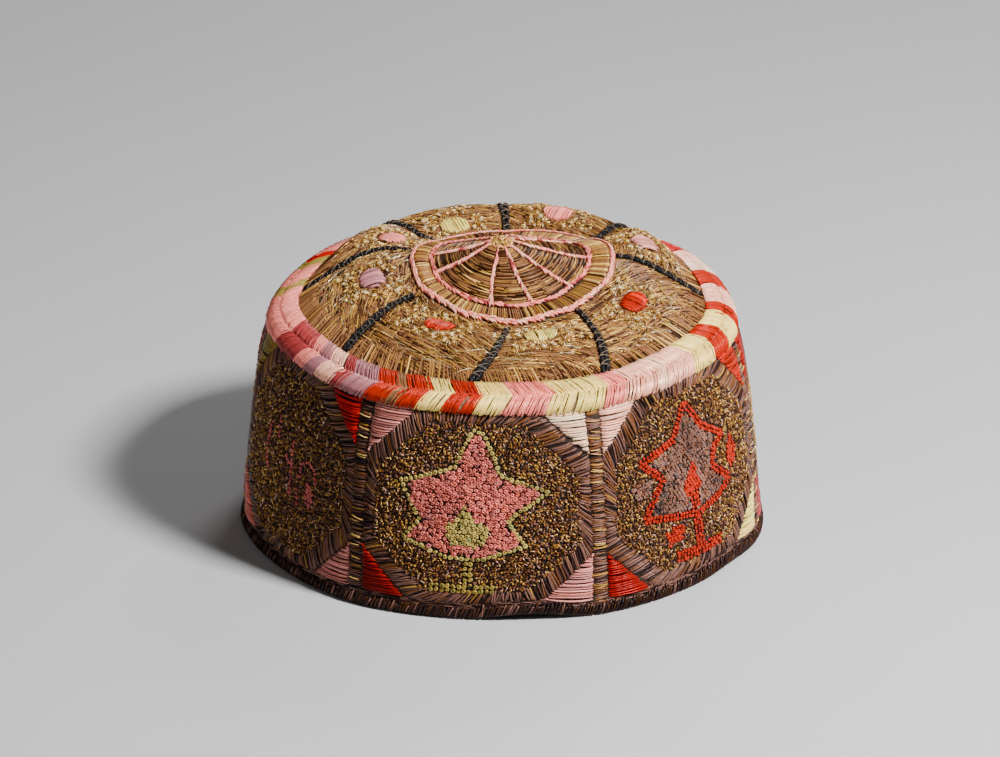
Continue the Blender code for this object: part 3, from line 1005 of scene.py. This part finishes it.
def rosette_section():
    """The rosette's padding, with its height left to the place where it is laid."""
    radii = [float(radius) for radius in np.linspace(0.0, ROSETTE_RADIUS, 34)]
    return [(radius, -0.3) for radius in radii] + [(radius, -0.9) for radius in reversed(radii)]


def turned(x, y, z):
    """The settled place of a point of the true round form."""
    return settled(np.hypot(x, y), np.degrees(np.arctan2(y, x)), z)


def turned_cloth(name, section, steps, place, material, lining=None):
    """A closed section of radius and height, spun round the Z axis and then laid in its place."""
    bpy.ops.object.select_all(action="DESELECT")
    bpy.ops.mesh.primitive_circle_add(vertices=len(section), radius=1.0)
    obj = bpy.context.object
    for vertex, (radius, height) in zip(obj.data.vertices, section):
        vertex.co = (radius, 0.0, height)
    bpy.ops.object.mode_set(mode="EDIT")
    bpy.ops.mesh.select_all(action="SELECT")
    bpy.ops.mesh.spin(steps=steps, angle=2 * pi, center=(0, 0, 0), axis=(0, 0, 1))
    bpy.ops.mesh.select_all(action="SELECT")
    bpy.ops.mesh.remove_doubles(threshold=0.001)
    bpy.ops.mesh.delete_loose()
    bpy.ops.mesh.select_all(action="SELECT")
    bpy.ops.mesh.normals_make_consistent(inside=False)
    bpy.ops.object.mode_set(mode="OBJECT")
    mesh = obj.data
    mesh.name = name
    bpy.data.objects.remove(obj)
    points = np.empty(len(mesh.vertices) * 3, np.float32)
    mesh.vertices.foreach_get("co", points)
    real = place(*points.reshape(-1, 3).T.astype(float)) * MM
    mesh.vertices.foreach_set("co", real.ravel().astype(np.float32))
    mesh.update()
    mesh.shade_smooth()
    obj = placed(name, mesh, material)
    if lining:
        mesh.materials.append(lining)
        middle = Vector((0.0, 0.0, 0.03))
        for face in mesh.polygons:
            face.material_index = int(face.normal.dot(face.center - middle) < 0)
    return obj


def frame_stitches(outer, inner, pitch, slant):
    """The two ends of each slanted stitch of a satin frame between two outlines with matching corners."""
    starts, ends = [], []
    for index in range(len(outer)):
        first, last = np.array(outer[index - 1]), np.array(outer[index])
        inner_first, inner_last = np.array(inner[index - 1]), np.array(inner[index])
        reach = np.hypot(*(last - first))
        share = ((np.arange(int(reach / pitch)) + 0.5) * pitch / reach)[:, None]
        starts.append(first + share * (last - first))
        ends.append(inner_first + share * (inner_last - inner_first))
    return np.concatenate(starts), np.roll(np.concatenate(ends), -int(round(slant / pitch)), axis=0)


def corner_stitches(half, upper, right, across, up, pitch):
    """The two ends of each level stitch of one corner of a panel."""
    share = (np.arange(int(up / pitch)) + 0.5) * pitch / up
    height = PANEL_HIGH - up + share * up if upper else PANEL_LOW + up - share * up
    side = half - STRIP_HALF - 0.2
    sign = 1 if right else -1
    start = np.stack((np.full(len(share), sign * side), height), axis=1)
    end = np.stack((sign * (side - across * share), height), axis=1)
    return start, end


def far_from(points, others, gap):
    """Which points keep a gap from all the others."""
    if not len(others):
        return np.ones(len(points), bool)
    apart = points[:, None] - np.asarray(others)[None]
    return np.hypot(apart[:, :, 0], apart[:, :, 1]).min(axis=1) > gap


def figure_knots(number, pitch):
    """Each knot of one panel's figure, with its silk's name: the lines first, then what they surround."""
    chance = np.random.default_rng(40 + number)
    figure = PANEL_FIGURES[number]
    pitch = pitch * figure["knots"]
    places, dyes = np.empty((0, 2)), []
    for line, dye, rows in figure["lines"]:
        points, ahead = spaced(line, pitch)
        side = np.stack((-ahead[:, 1], ahead[:, 0]), axis=1)
        for row in range(rows):
            row_points = points + side * (row - (rows - 1) / 2) * pitch * 0.95
            row_points = row_points + chance.normal(0, 0.1, row_points.shape)
            row_points = row_points[far_from(row_points, places, pitch * 0.62)]
            places = np.concatenate((places, row_points))
            dyes += [dye] * len(row_points)
    for outline, dye in reversed(figure["regions"]):
        low, high = np.min(outline, axis=0), np.max(outline, axis=0)
        points = scattered(chance, low, high, pitch * 0.9, 0.1)
        points = points[inside(points, outline)]
        points = points[far_from(points, places, pitch * 0.64)]
        places = np.concatenate((places, points))
        dyes += [dye] * len(points)
    return places, dyes


class SKULLCAP_OT_ground_cloth(bpy.types.Operator):
    """The band's and the crown's cloth under the stitches, and the plain lining inside."""

    bl_idname = "skullcap.ground_cloth"
    bl_label = "Ground cloth"

    def execute(self, context):
        steps = context.scene.skullcap_sizes.cloth_steps
        cotton = finish(brown_plain_cotton)
        lining = finish(glazed_cotton_lining)
        band = turned_cloth("band_cloth", band_section(), steps, turned, cotton, lining)
        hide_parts("side_band")
        lining = finish(level_cotton_lining)
        crown = turned_cloth("crown_cloth", crown_section(), steps, turned, cotton, lining)
        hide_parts("crown")
        return {"FINISHED"}


# In every step below, the second number of a normal draw is the error of a hand, in millimetres where
# it moves a stitch, and lift or seat is a height above the cloth


class SKULLCAP_OT_hem(bpy.types.Operator):
    """The hem's roll and the overcast stitches that wrap it."""

    bl_idname = "skullcap.hem"
    bl_label = "Overcast hem"

    def execute(self, context):
        steps = context.scene.skullcap_sizes.cloth_steps
        cotton = finish(brown_plain_cotton)
        roll = turned_cloth("hem_roll", HEM_SECTION, steps, turned, cotton)
        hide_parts("hem_binding")
        sewing = Sewing(on_hem, 11)
        chance = sewing.chance
        around = 2 * pi * PANEL_RADIUS
        count = int(around / HEM_PITCH)
        along = np.linspace(0, around, count, endpoint=False) + chance.normal(0, 0.1, count)
        start = np.stack((along, np.zeros(count)), axis=1)
        lean, rise = HEM_LEAN + chance.normal(0, 0.3, count), HEM_RISE + chance.normal(0, 0.6, count)
        colour = sewing.mixed("hem", count)
        seat, bow = chance.uniform(0, 0.15, count), chance.normal(0, 0.12, count)
        end = start + np.stack((lean, rise), axis=1)
        sewing.stitches("long", start, end, colour, width=0.68, height=0.5, seat=seat, bow=bow)
        sewing.make("hem_overcast", finish(reeled_silk_floss))
        return {"FINISHED"}


class SKULLCAP_OT_band_satin(bpy.types.Operator):
    """The band's satin: upright strips, slanted frames, coloured corners and the rows above the hem."""

    bl_idname = "skullcap.band_satin"
    bl_label = "Band satin"

    def execute(self, context):
        sizes = context.scene.skullcap_sizes
        pitch = sizes.satin_pitch / MM
        size = {"width": sizes.satin_width / MM, "height": sizes.satin_height / MM}
        sewing = Sewing(on_band, 21)
        chance = sewing.chance
        for number, middle, half in panels():
            self.sew_strip(sewing, middle - half, pitch, size)
            outer, inner = cartouche(half), cartouche(half, SIDE_SATIN, END_SATIN, 5.6)
            start, end = frame_stitches(outer, inner, pitch, FRAME_SLANT)
            count = len(start)
            start = start + chance.normal(0, 0.22, start.shape) + (middle, 0)
            end = end + chance.normal(0, 0.5, end.shape) + (middle, 0)
            colour = sewing.mixed("frame", count)
            lift = chance.uniform(-0.15, 0.15, count)
            bow = chance.normal(0.1, 0.2, count)
            sewing.stitches("long", start, end, colour, **size, seat=lift, bow=bow, arch=0.3)
            for upper in (True, False):
                for right in (True, False):
                    corners = CORNER_SILKS[(number + right) % len(CORNER_SILKS)]
                    dye = corners[(0 if upper else 2) + (0 if right else 1)]
                    across = CORNER_ACROSS + chance.normal(0, 0.7)
                    rise = CORNER_UP + chance.normal(0, 0.7)
                    start, end = corner_stitches(half, upper, right, across, rise, pitch * CORNER_PITCH)
                    count = len(start)
                    start = start + chance.normal(0, 0.14, start.shape) + (middle, 0)
                    end = end + chance.normal(0, 0.2, end.shape) + (middle, 0)
                    colour = sewing.in_silk(dye, count, 0.2)
                    bow = chance.normal(0, 0.22, count)
                    lift = chance.uniform(0, 0.2, count)
                    sewing.stitches(
                        "long", start, end, colour, width=size["width"] * CORNER_WIDTH,
                        height=size["height"] * CORNER_HEIGHT, seat=lift, bow=bow, arch=0.5,
                    )
        for level in HEM_ROWS:
            along = np.arange(0, 2 * pi * PANEL_RADIUS, HEM_ROW_PITCH)
            count = len(along)
            start = np.stack((along + chance.normal(0, 0.5, count), np.full(count, level)), axis=1)
            reach = HEM_ROW_STITCH + chance.normal(0, 0.5, count)
            end = start + np.stack((reach, chance.normal(0, 0.25, count)), axis=1)
            sewing.stitches("long", start, end, sewing.mixed("hem rows", count), **size)
        sewing.make("band_satin", finish(reeled_silk_floss))
        return {"FINISHED"}

    def sew_strip(self, sewing, strip, pitch, size):
        """One upright strip of level stitches, of which a tenth have a thread of gilt on them."""
        chance = sewing.chance
        up = np.arange(STRIP_FOOT, PANEL_HIGH, pitch)
        count = len(up)
        reach = STRIP_HALF + 0.2 + chance.normal(0, 0.4, (2, count))
        level = up + chance.normal(0, 0.15, count)
        start = np.stack((strip - reach[0], level), axis=1)
        end = np.stack((strip + reach[1], level + chance.normal(0, 0.5, count)), axis=1)
        colour = sewing.mixed("strip", count)
        lift = chance.uniform(-0.05, 0.2, count)
        bow = chance.normal(0, 0.15, count)
        sewing.stitches("long", start, end, colour, **size, seat=lift, bow=bow, arch=0.2)
        gleams = chance.random(count) < 0.1
        start, end = start[gleams] + (0.3, 0.2), end[gleams] - (0.4, 0.1)
        colour = sewing.in_silk("gilt", gleams.sum(), 0.2)
        above = size["height"] + 0.25
        sewing.stitches("long", start, end, colour, width=0.3, height=0.26, seat=above, arch=0.2)


class SKULLCAP_OT_seed_ground(bpy.types.Operator):
    """The small brown knots and gilt glints that fill each panel round its figure."""

    bl_idname = "skullcap.seed_ground"
    bl_label = "Seed ground"

    def execute(self, context):
        sizes = context.scene.skullcap_sizes
        pitch, knot_pitch = sizes.seed_pitch / MM, sizes.knot_pitch / MM
        for number, middle, half in panels():
            sewing = Sewing(on_band, 60 + number)
            chance = sewing.chance
            field = cartouche(half, SIDE_SATIN - 0.4, END_SATIN - 0.4, 5.2)
            figure, _ = figure_knots(number, knot_pitch)
            points = scattered(chance, (-half, PANEL_LOW), (half, PANEL_HIGH), pitch, 0.2)
            points = points[inside(points, field)]
            gap = (pitch + knot_pitch * PANEL_FIGURES[number]["knots"]) * 0.42
            points = points[far_from(points, figure, gap)]
            count = len(points)
            colour = sewing.mixed("seeds", count)
            size = pitch * chance.uniform(0.8, 1.25, count)
            places = points + (middle, 0)
            lift = 0.1 + chance.uniform(0, 0.45, count)
            sewing.knots("seed", places, colour, size, height=0.5, seat=lift)
            glints = places[chance.random(count) < GLINT_SHARE]
            count = len(glints)
            turn = chance.uniform(0, pi, count)
            reach = chance.uniform(0.8, 1.7, count)[:, None] * rays(turn)
            bow = chance.normal(0, 0.2, count)
            colour = sewing.mixed("glints", count)
            start, end = glints - reach / 2, glints + reach / 2
            sewing.stitches(
                "short", start, end, colour, width=0.34, height=0.34, metal=0.6, seat=0.5, bow=bow, arch=0.2
            )
            sewing.make(f"seed_ground_{number + 1}", finish(silk_with_gilt))
        return {"FINISHED"}


class SKULLCAP_OT_panel_figures(bpy.types.Operator):
    """The stars, trees and rings of looped knots in the middle of the panels."""

    bl_idname = "skullcap.panel_figures"
    bl_label = "Panel figures"

    def execute(self, context):
        knot_pitch = context.scene.skullcap_sizes.knot_pitch
        for number, middle, half in panels():
            sewing = Sewing(on_band, 80 + number)
            chance = sewing.chance
            places, names = figure_knots(number, knot_pitch / MM)
            pitch = PANEL_FIGURES[number]["knots"] * knot_pitch / MM
            count = len(places)
            # The silk is paler and darker in patches about 15 mm wide, and the mauve varies most
            patches = 1 + 0.16 * np.sin(places[:, 0] / 5 + number) * np.sin(places[:, 1] / 6 + number)
            shades = sewing.dyed(UNDYED, count, 0.3, 0.1) * patches[:, None]
            faded = np.array([2.4 if name == "knot_mauve" else 1.0 for name in names])[:, None]
            colour = shades ** faded * dyes(names)
            size = pitch * chance.uniform(0.95, 1.25, count)
            lift = 0.4 + chance.uniform(0, 0.35, count)
            sewing.knots("loop", places + (middle, 0), colour, size, height=0.62 * pitch, seat=lift)
            sewing.make(f"figure_{number + 1}", finish(twisted_silk))
        return {"FINISHED"}


class SKULLCAP_OT_crown_satin(bpy.types.Operator):
    """The brown satin that flows round the crown, with gilt threads and a fringe against the braid."""

    bl_idname = "skullcap.crown_satin"
    bl_label = "Crown satin"

    def execute(self, context):
        sewing = Sewing(on_crown, 31)
        chance = sewing.chance
        points = scattered(chance, (-72, -72), (72, 72), 1.3, 0.3)
        radius, _ = polar(points)
        points = points[(radius < SATIN_EDGE) & (from_rosette(points) > ROSETTE_RADIUS - 3)]
        radius, angle = polar(points)
        count = len(points)
        # Each sector's stitches run round the crown and turn outwards towards its far cord
        across = share_across(angle, [cord_angle(path, radius) for path in CORD_PATHS])
        lean = 8 + 34 * smooth_share((across - 0.4) / 0.5) + 6 * np.sin(radius / 7 + angle / 9)
        turn = np.radians(angle + 90 - lean + chance.normal(0, 1.6, count))
        # A stitch grows shorter near a cord and near the braid
        near_cord = np.minimum(across, 1 - across) * radius * 0.78
        reach = np.minimum(chance.uniform(6.5, 10, count), 1.4 + 2 * near_cord)
        reach = np.minimum(reach, 2 * (71 - radius) / np.maximum(0.25, np.sin(np.radians(lean))))
        run = np.maximum(1.5, reach)[:, None] * rays(turn)
        colour = sewing.mixed("crown", count)
        seat, bow = chance.uniform(-0.05, 0.35, count), chance.normal(0, 0.2, count)
        start, end = points - run / 2, points + run / 2
        sewing.stitches("long", start, end, colour, width=0.6, height=0.42, seat=seat, bow=bow)
        self.sew_fringe(sewing)

        points = points[chance.random(count) < LOOSE_GILT_SHARE]
        radius, angle = polar(points)
        count = len(points)
        turn = np.radians(angle + 90 - 20 + chance.normal(0, 24, count))
        run = chance.uniform(4, 9, count)[:, None] * rays(turn)
        colour = sewing.mixed("loose gilt", count)
        keep = (radius < 66)[:, None]
        start, end = points - run / 2 * keep, points + run / 2 * keep
        bow = chance.normal(0, 0.7, count)
        sewing.stitches("long", start, end, colour, width=0.3, height=0.26, metal=0.9, seat=0.5, bow=bow)
        sewing.make("crown_satin", finish(silk_with_gilt))
        return {"FINISHED"}

    def sew_fringe(self, sewing):
        """The stitches that run out under the braid, each leaning a little."""
        chance = sewing.chance
        count = int(2 * pi * 69 / FRINGE_PITCH)
        turn = np.linspace(0, 2 * pi, count, endpoint=False) + chance.normal(0, 0.003, count)
        start = (FRINGE_START + chance.normal(0, 1.5, count))[:, None] * rays(turn - np.radians(2.2))
        end = FRINGE_END * rays(turn)
        colour = sewing.mixed("fringe", count)
        seat, bow = chance.uniform(0.2, 0.6, count), chance.normal(0, 0.2, count)
        sewing.stitches("long", start, end, colour, width=0.64, height=0.42, seat=seat, bow=bow)


class SKULLCAP_OT_crown_flowers(bpy.types.Operator):
    """The eight round flowers of the crown: a silk heart in a ring of small gilt wheels."""

    bl_idname = "skullcap.crown_flowers"
    bl_label = "Crown flowers"

    def execute(self, context):
        sewing = Sewing(on_crown, 37)
        chance = sewing.chance
        for distance, direction, dye in FLOWERS:
            out = rays(radians(direction))
            side = np.array((-out[1], out[0]))
            centre = distance * out
            filler = centre + chance.normal(0, 1, (260, 2)) @ np.array((8.0 * side, 5.6 * out))
            filler = filler[(from_rosette(filler) > ROSETTE_RADIUS + 1) & (polar(filler)[0] < 62)]
            count = len(filler)
            turn = chance.uniform(0, pi, count)
            reach = chance.uniform(0.8, 1.8, count)[:, None] * rays(turn)
            colour = sewing.mixed("flower ground", count)
            start, end = filler - reach, filler + reach
            sewing.stitches("short", start, end, colour, width=0.5, height=0.4, seat=0.45)
            self.sew_wheels(sewing, centre, side, out)
            level = np.arange(-HEART_HALF, HEART_HALF + 0.1, 0.5)
            count = len(level)
            chord = 4.5 * np.sqrt(np.maximum(0.05, 1 - (level / 5.5) ** 2)) + chance.normal(0, 0.35, count)
            middle = centre + level[:, None] * side
            colour = sewing.in_silk(dye, count, 0.3)
            start, end = middle - chord[:, None] * out, middle + chord[:, None] * out
            seat, bow = chance.uniform(0.7, 1.0, count), chance.normal(0, 0.2, count)
            sewing.stitches("long", start, end, colour, width=0.62, height=0.5, seat=seat, bow=bow, arch=0.4)
        sewing.make("crown_flowers", finish(silk_with_gilt))
        return {"FINISHED"}

    def sew_wheels(self, sewing, centre, side, out):
        """The small gilt wheels round one flower, without those that would meet the rosette or the braid."""
        chance = sewing.chance
        for wheels, first, error, radius, round_it, out_of_it in WHEEL_RINGS:
            for wheel in wheels:
                turn = 2 * pi * wheel / len(wheels) + first + chance.normal(0, error)
                step = round_it * np.cos(turn) * side + out_of_it * np.sin(turn) * out
                hub = centre + radius * step + chance.normal(0, 0.3, 2)
                if from_rosette(hub) < ROSETTE_RADIUS + 2.5 or np.hypot(*hub) > 64:
                    continue
                spread = np.linspace(0, 2 * pi, WHEEL_RAYS + 1)[:-1] + chance.normal(0, 0.1, WHEEL_RAYS)
                inner = chance.uniform(0.9, 1.3, (WHEEL_RAYS, 1))
                outer = chance.uniform(2.2, 3.1, (WHEEL_RAYS, 1))
                colour = sewing.mixed("wheels", WHEEL_RAYS)
                start, end = hub + rays(spread) * inner, hub + rays(spread) * outer
                sewing.stitches(
                    "short", start, end, colour, width=0.32, height=0.34, metal=0.5, seat=0.8, arch=0.3
                )


class SKULLCAP_OT_seam_cords(bpy.types.Operator):
    """The eight plaited black cords from the rosette to the braid, held down by pale threads."""

    bl_idname = "skullcap.seam_cords"
    bl_label = "Seam cords"

    def execute(self, context):
        for number, path in enumerate(CORD_PATHS):
            sewing = Sewing(on_cord(path), 110 + number)
            chance = sewing.chance
            along = np.arange(35.5, 69.5, CORD_PITCH)
            places = along[:, None] * rays(np.radians(cord_angle(path, along)))
            along = along[from_rosette(places) > ROSETTE_RADIUS + 0.4]
            count = len(along)
            swell = 0.8 + 0.6 * smooth_share((along - 40) / 26)
            for sign in (-1, 1):
                start = np.stack((along - 1.3, sign * 1.35 * swell), axis=1)
                start = start + chance.normal(0, 0.12, (count, 2))
                end = np.stack((along + 1.5, -sign * 0.1 * swell), axis=1)
                end = end + chance.normal(0, 0.1, (count, 2))
                colour = sewing.in_silk("black", count, 0.3)
                sewing.stitches(
                    "fat", start, end, colour, width=1.5 * swell, height=0.9, seat=0.6, arch=0.35
                )
                # Every third stitch is tied down, and the two sides' ties lie one stitch apart
                tied = slice(sign > 0, None, 3)
                start = np.stack((along - 0.8, -1.6 * sign * swell), axis=1)[tied]
                end = np.stack((along + 0.8, 1.6 * sign * swell), axis=1)[tied]
                colour = sewing.in_silk("silver_mauve", len(start), 0.3) * TIE_SHADE
                sewing.stitches("long", start, end, colour, width=0.18, height=0.16, seat=0.7, arch=1.3)
            cord = sewing.make(f"black_cord_{number + 1}", finish(black_silk_cord))
            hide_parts(f"seam_cord_{number + 1}")
        return {"FINISHED"}


class SKULLCAP_OT_rosette(bpy.types.Operator):
    """The padded rosette: satin over the padding, two pink rings and ten pink spokes."""

    bl_idname = "skullcap.rosette"
    bl_label = "Rosette"

    def execute(self, context):
        cotton = finish(brown_plain_cotton)
        pad = turned_cloth("rosette_pad", rosette_section(), 120, on_rosette, cotton)
        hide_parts("crown_rosette")
        sewing = Sewing(on_rosette, 51)
        chance = sewing.chance
        count = int(2 * pi * 31 / ANNULUS_PITCH)
        turn = np.linspace(0, 2 * pi, count, endpoint=False) + chance.normal(0, 0.003, count)
        start = rays(turn) * ANNULUS_START
        end = rays(turn) * (ANNULUS_END + chance.normal(0, 0.2, (count, 1)))
        colour = sewing.mixed("annulus", count)
        sewing.stitches("long", start, end, colour, width=0.78, height=0.45, metal=0.25, arch=0.2)
        for first, last in zip(SPOKE_ANGLES, (*SPOKE_ANGLES[1:], SPOKE_ANGLES[0] + 360)):
            self.sew_segment(sewing, first, last)
        for radius, mix in RING_RADII:
            self.sew_ring(sewing, radius, mix)
        for angle in SPOKE_ANGLES:
            self.sew_spoke(sewing, angle)
        points = scattered(chance, (-4.6, -4.6), (4.6, 4.6), 0.95, 0.25)
        points = points[polar(points)[0] < 4.4]
        count = len(points)
        colour = sewing.mixed("peak", count)
        size = chance.uniform(1.0, 1.6, count)
        sewing.knots("loop", points, colour, size, height=0.8, metal=0.5, seat=0.5)
        sewing.make("rosette_silk", finish(silk_with_gilt))
        return {"FINISHED"}

    def sew_segment(self, sewing, first, last):
        """Satin from one spoke to the next, in stitches of about 7 mm that bend round the peak."""
        chance = sewing.chance
        for radius in np.arange(2.5, SPOKE_LENGTH, SEGMENT_PITCH):
            parts = max(1, int(round(radians(last - first) * radius / 7)))
            bounds = np.linspace(first, last, parts + 1)
            bounds[1:-1] += chance.normal(0, 4, parts - 1)
            rim = radius + chance.normal(0, 0.25, parts + 1)
            ends = rim[:, None] * rays(np.radians(bounds))
            colour = sewing.mixed("segments", parts)
            bow = -0.12 * radius * np.radians(np.diff(bounds)) ** 2
            seat = chance.uniform(-0.1, 0.2, parts)
            sewing.stitches("long", ends[:-1], ends[1:], colour, width=0.48, height=0.42, bow=bow, seat=seat)

    def sew_ring(self, sewing, radius, mix):
        """A chain of pink stitches, two to a link, that wavers a little."""
        chance = sewing.chance
        count = int(2 * pi * radius / RING_PITCH)
        turn = np.linspace(0, 2 * pi, count, endpoint=False)
        waver = 0.3 * np.sin(5 * turn + radius) + 0.25 * np.sin(11 * turn)
        for side in (-1, 1):
            rim = radius + waver + side * 0.4 + chance.normal(0, 0.16, count)
            start = (rim - side * 0.5)[:, None] * rays(turn)
            ahead = turn + chance.uniform(2.2, 3.6, count) / radius
            end = (rim + side * 0.2)[:, None] * rays(ahead)
            colour = sewing.mixed(mix, count)
            width = chance.uniform(0.6, 1.0, count)
            sewing.stitches("fat", start, end, colour, width, height=0.6, seat=0.4, arch=0.2)

    def sew_spoke(self, sewing, angle):
        """A chain of pink stitches from the peak to the inner ring, which sways and swells."""
        chance = sewing.chance
        along = np.arange(3.5, 26.5, SPOKE_PITCH)
        count = len(along)
        ray = rays(radians(angle))
        side = np.array((-ray[1], ray[0]))
        share = along / SPOKE_LENGTH
        swell = 0.6 + 0.8 * chance.random() * np.sin(pi * along / SPOKE_LENGTH) + 0.4 * share ** 2
        sway = 0.7 * np.sin(along / 4.5 + angle) * share
        for sign in (-1, 1):
            offset = sway + sign * 0.42 * swell + chance.normal(0, 0.16, count)
            start = along[:, None] * ray + (sway - 0.15 * sign)[:, None] * side
            end = (along + chance.uniform(1.8, 3.2, count))[:, None] * ray + offset[:, None] * side
            colour = sewing.mixed("spokes", count)
            sewing.stitches("fat", start, end, colour, width=0.8 * swell, height=0.55, seat=0.45, arch=0.2)


class SKULLCAP_OT_edge_braid(bpy.types.Operator):
    """The braid over the seam: two rows of floss that meet in a herringbone, in changing colours."""

    bl_idname = "skullcap.edge_braid"
    bl_label = "Edge braid"

    def execute(self, context):
        steps = context.scene.skullcap_sizes.cloth_steps
        cotton = finish(undyed_plain_cotton)
        bed = turned_cloth("braid_bed", braid_section(), steps, turned, cotton)
        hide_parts("edge_braid")
        sewing = Sewing(on_braid, 71)
        chance = sewing.chance
        starts = np.array([angle for angle, _ in BRAID_SILKS])
        count = int(2 * pi * BRAID_RADIUS / FLOSS_PITCH)
        along = np.linspace(-pi, pi, count, endpoint=False) * BRAID_RADIUS
        spine = (BRAID_LOW + BRAID_RAIL.length) / 2
        for edge, over in ((BRAID_LOW, 0.5), (BRAID_RAIL.length, -0.5)):
            begin = along + chance.normal(0, 0.2, count)
            start = np.stack((begin, edge + chance.normal(0, 0.3, count)), axis=1)
            ahead = begin + FLOSS_LEAN + chance.normal(0, 0.4, count)
            end = np.stack((ahead, spine + over + chance.normal(0, 0.25, count)), axis=1)
            direction = np.degrees(along / BRAID_RADIUS) + chance.normal(0, 0.6, count)
            which = np.searchsorted(starts, (direction + 180) % 360 - 180, side="right") - 1
            silks = dyes(BRAID_SILKS[index][1] for index in which)
            colour = silks * sewing.dyed(UNDYED, count, 0.2)
            seat = 0.1 + chance.uniform(0, 0.4, count)
            bow = chance.normal(0.15 * np.sign(over), 0.2, count)
            width = chance.uniform(0.46, 0.7, count)
            sewing.stitches("long", start, end, colour, width, height=0.42, seat=seat, bow=bow, arch=0.65)
        sewing.make("braid_floss", finish(reeled_silk_floss))
        return {"FINISHED"}


class SKULLCAP_OT_stage(bpy.types.Operator):
    """The paper floor, the soft lights and the camera."""

    bl_idname = "skullcap.stage"
    bl_label = "Stage"

    def execute(self, context):
        bpy.ops.object.select_all(action="DESELECT")
        bpy.ops.mesh.primitive_plane_add(size=8.0)
        floor = bpy.context.object
        floor.name = "paper_floor"
        floor.data.materials.append(finish(matt_studio_paper))
        soft_light("key_light", (0.62, -0.45, 0.86), 0.2, 32.0)
        soft_light("fill_light", (-1.3, -0.9, 0.8), 0.6, 2.4)
        soft_light("back_light", (0.5, 1.3, 1.1), 0.5, 10.0)
        world = context.scene.world or bpy.data.worlds.new("soft_room")
        context.scene.world = world
        world.use_nodes = True
        room = world.node_tree.nodes["Background"]
        room.inputs["Color"].default_value = (*linear("#E4E0DC"), 1.0)
        room.inputs["Strength"].default_value = 0.1
        lens = bpy.data.cameras.new("camera")
        lens.lens = 154.1
        lens.sensor_width = 36.0
        lens.clip_start, lens.clip_end = 0.05, 50.0
        camera = bpy.data.objects.new("camera", lens)
        context.scene.collection.objects.link(camera)
        camera.location = (-0.00096, -1.387, 0.6113)
        aim = Vector((-0.00096, 0.0038, 0.0494))
        camera.rotation_euler = (aim - camera.location).to_track_quat("-Z", "Y").to_euler()
        context.scene.camera = camera
        return {"FINISHED"}


def soft_light(name, place, size, power):
    """A square studio light that looks at the cap."""
    light = bpy.data.lights.new(name, "AREA")
    light.size, light.energy = size, power
    lamp = bpy.data.objects.new(name, light)
    bpy.context.scene.collection.objects.link(lamp)
    lamp.location = place
    aim = Vector((0.0, 0.0, 0.05))
    lamp.rotation_euler = (aim - lamp.location).to_track_quat("-Z", "Y").to_euler()


STEPS = (
    SKULLCAP_OT_ground_cloth,
    SKULLCAP_OT_hem,
    SKULLCAP_OT_band_satin,
    SKULLCAP_OT_seed_ground,
    SKULLCAP_OT_panel_figures,
    SKULLCAP_OT_crown_satin,
    SKULLCAP_OT_crown_flowers,
    SKULLCAP_OT_seam_cords,
    SKULLCAP_OT_rosette,
    SKULLCAP_OT_edge_braid,
    SKULLCAP_OT_stage,
)


class SKULLCAP_PT_steps(bpy.types.Panel):
    """The steps of the cap in the sidebar, with its silks and sizes."""

    bl_idname = "SKULLCAP_PT_steps"
    bl_label = "Embroidered skullcap"
    bl_space_type = "VIEW_3D"
    bl_region_type = "UI"
    bl_category = "Skullcap"

    def draw(self, context):
        for step in STEPS:
            self.layout.operator(step.bl_idname)
        for group in (context.scene.skullcap_sizes, context.scene.skullcap_silks):
            box = self.layout.box()
            for name in group.bl_rna.properties.keys():
                if name not in ("rna_type", "name"):
                    box.prop(group, name)


CLASSES = (SkullcapSilks, SkullcapSizes, *STEPS, SKULLCAP_PT_steps)


def register():
    for kind in CLASSES:
        bpy.utils.register_class(kind)
    bpy.types.Scene.skullcap_silks = PointerProperty(type=SkullcapSilks)
    bpy.types.Scene.skullcap_sizes = PointerProperty(type=SkullcapSizes)


def unregister():
    del bpy.types.Scene.skullcap_sizes
    del bpy.types.Scene.skullcap_silks
    for kind in reversed(CLASSES):
        bpy.utils.unregister_class(kind)


def main():
    """Makes the whole cap and its stage."""
    register()
    bpy.ops.skullcap.ground_cloth()
    bpy.ops.skullcap.hem()
    bpy.ops.skullcap.band_satin()
    bpy.ops.skullcap.seed_ground()
    bpy.ops.skullcap.panel_figures()
    bpy.ops.skullcap.crown_satin()
    bpy.ops.skullcap.crown_flowers()
    bpy.ops.skullcap.seam_cords()
    bpy.ops.skullcap.rosette()
    bpy.ops.skullcap.edge_braid()
    bpy.ops.skullcap.stage()


if __name__ == "__main__":
    main()
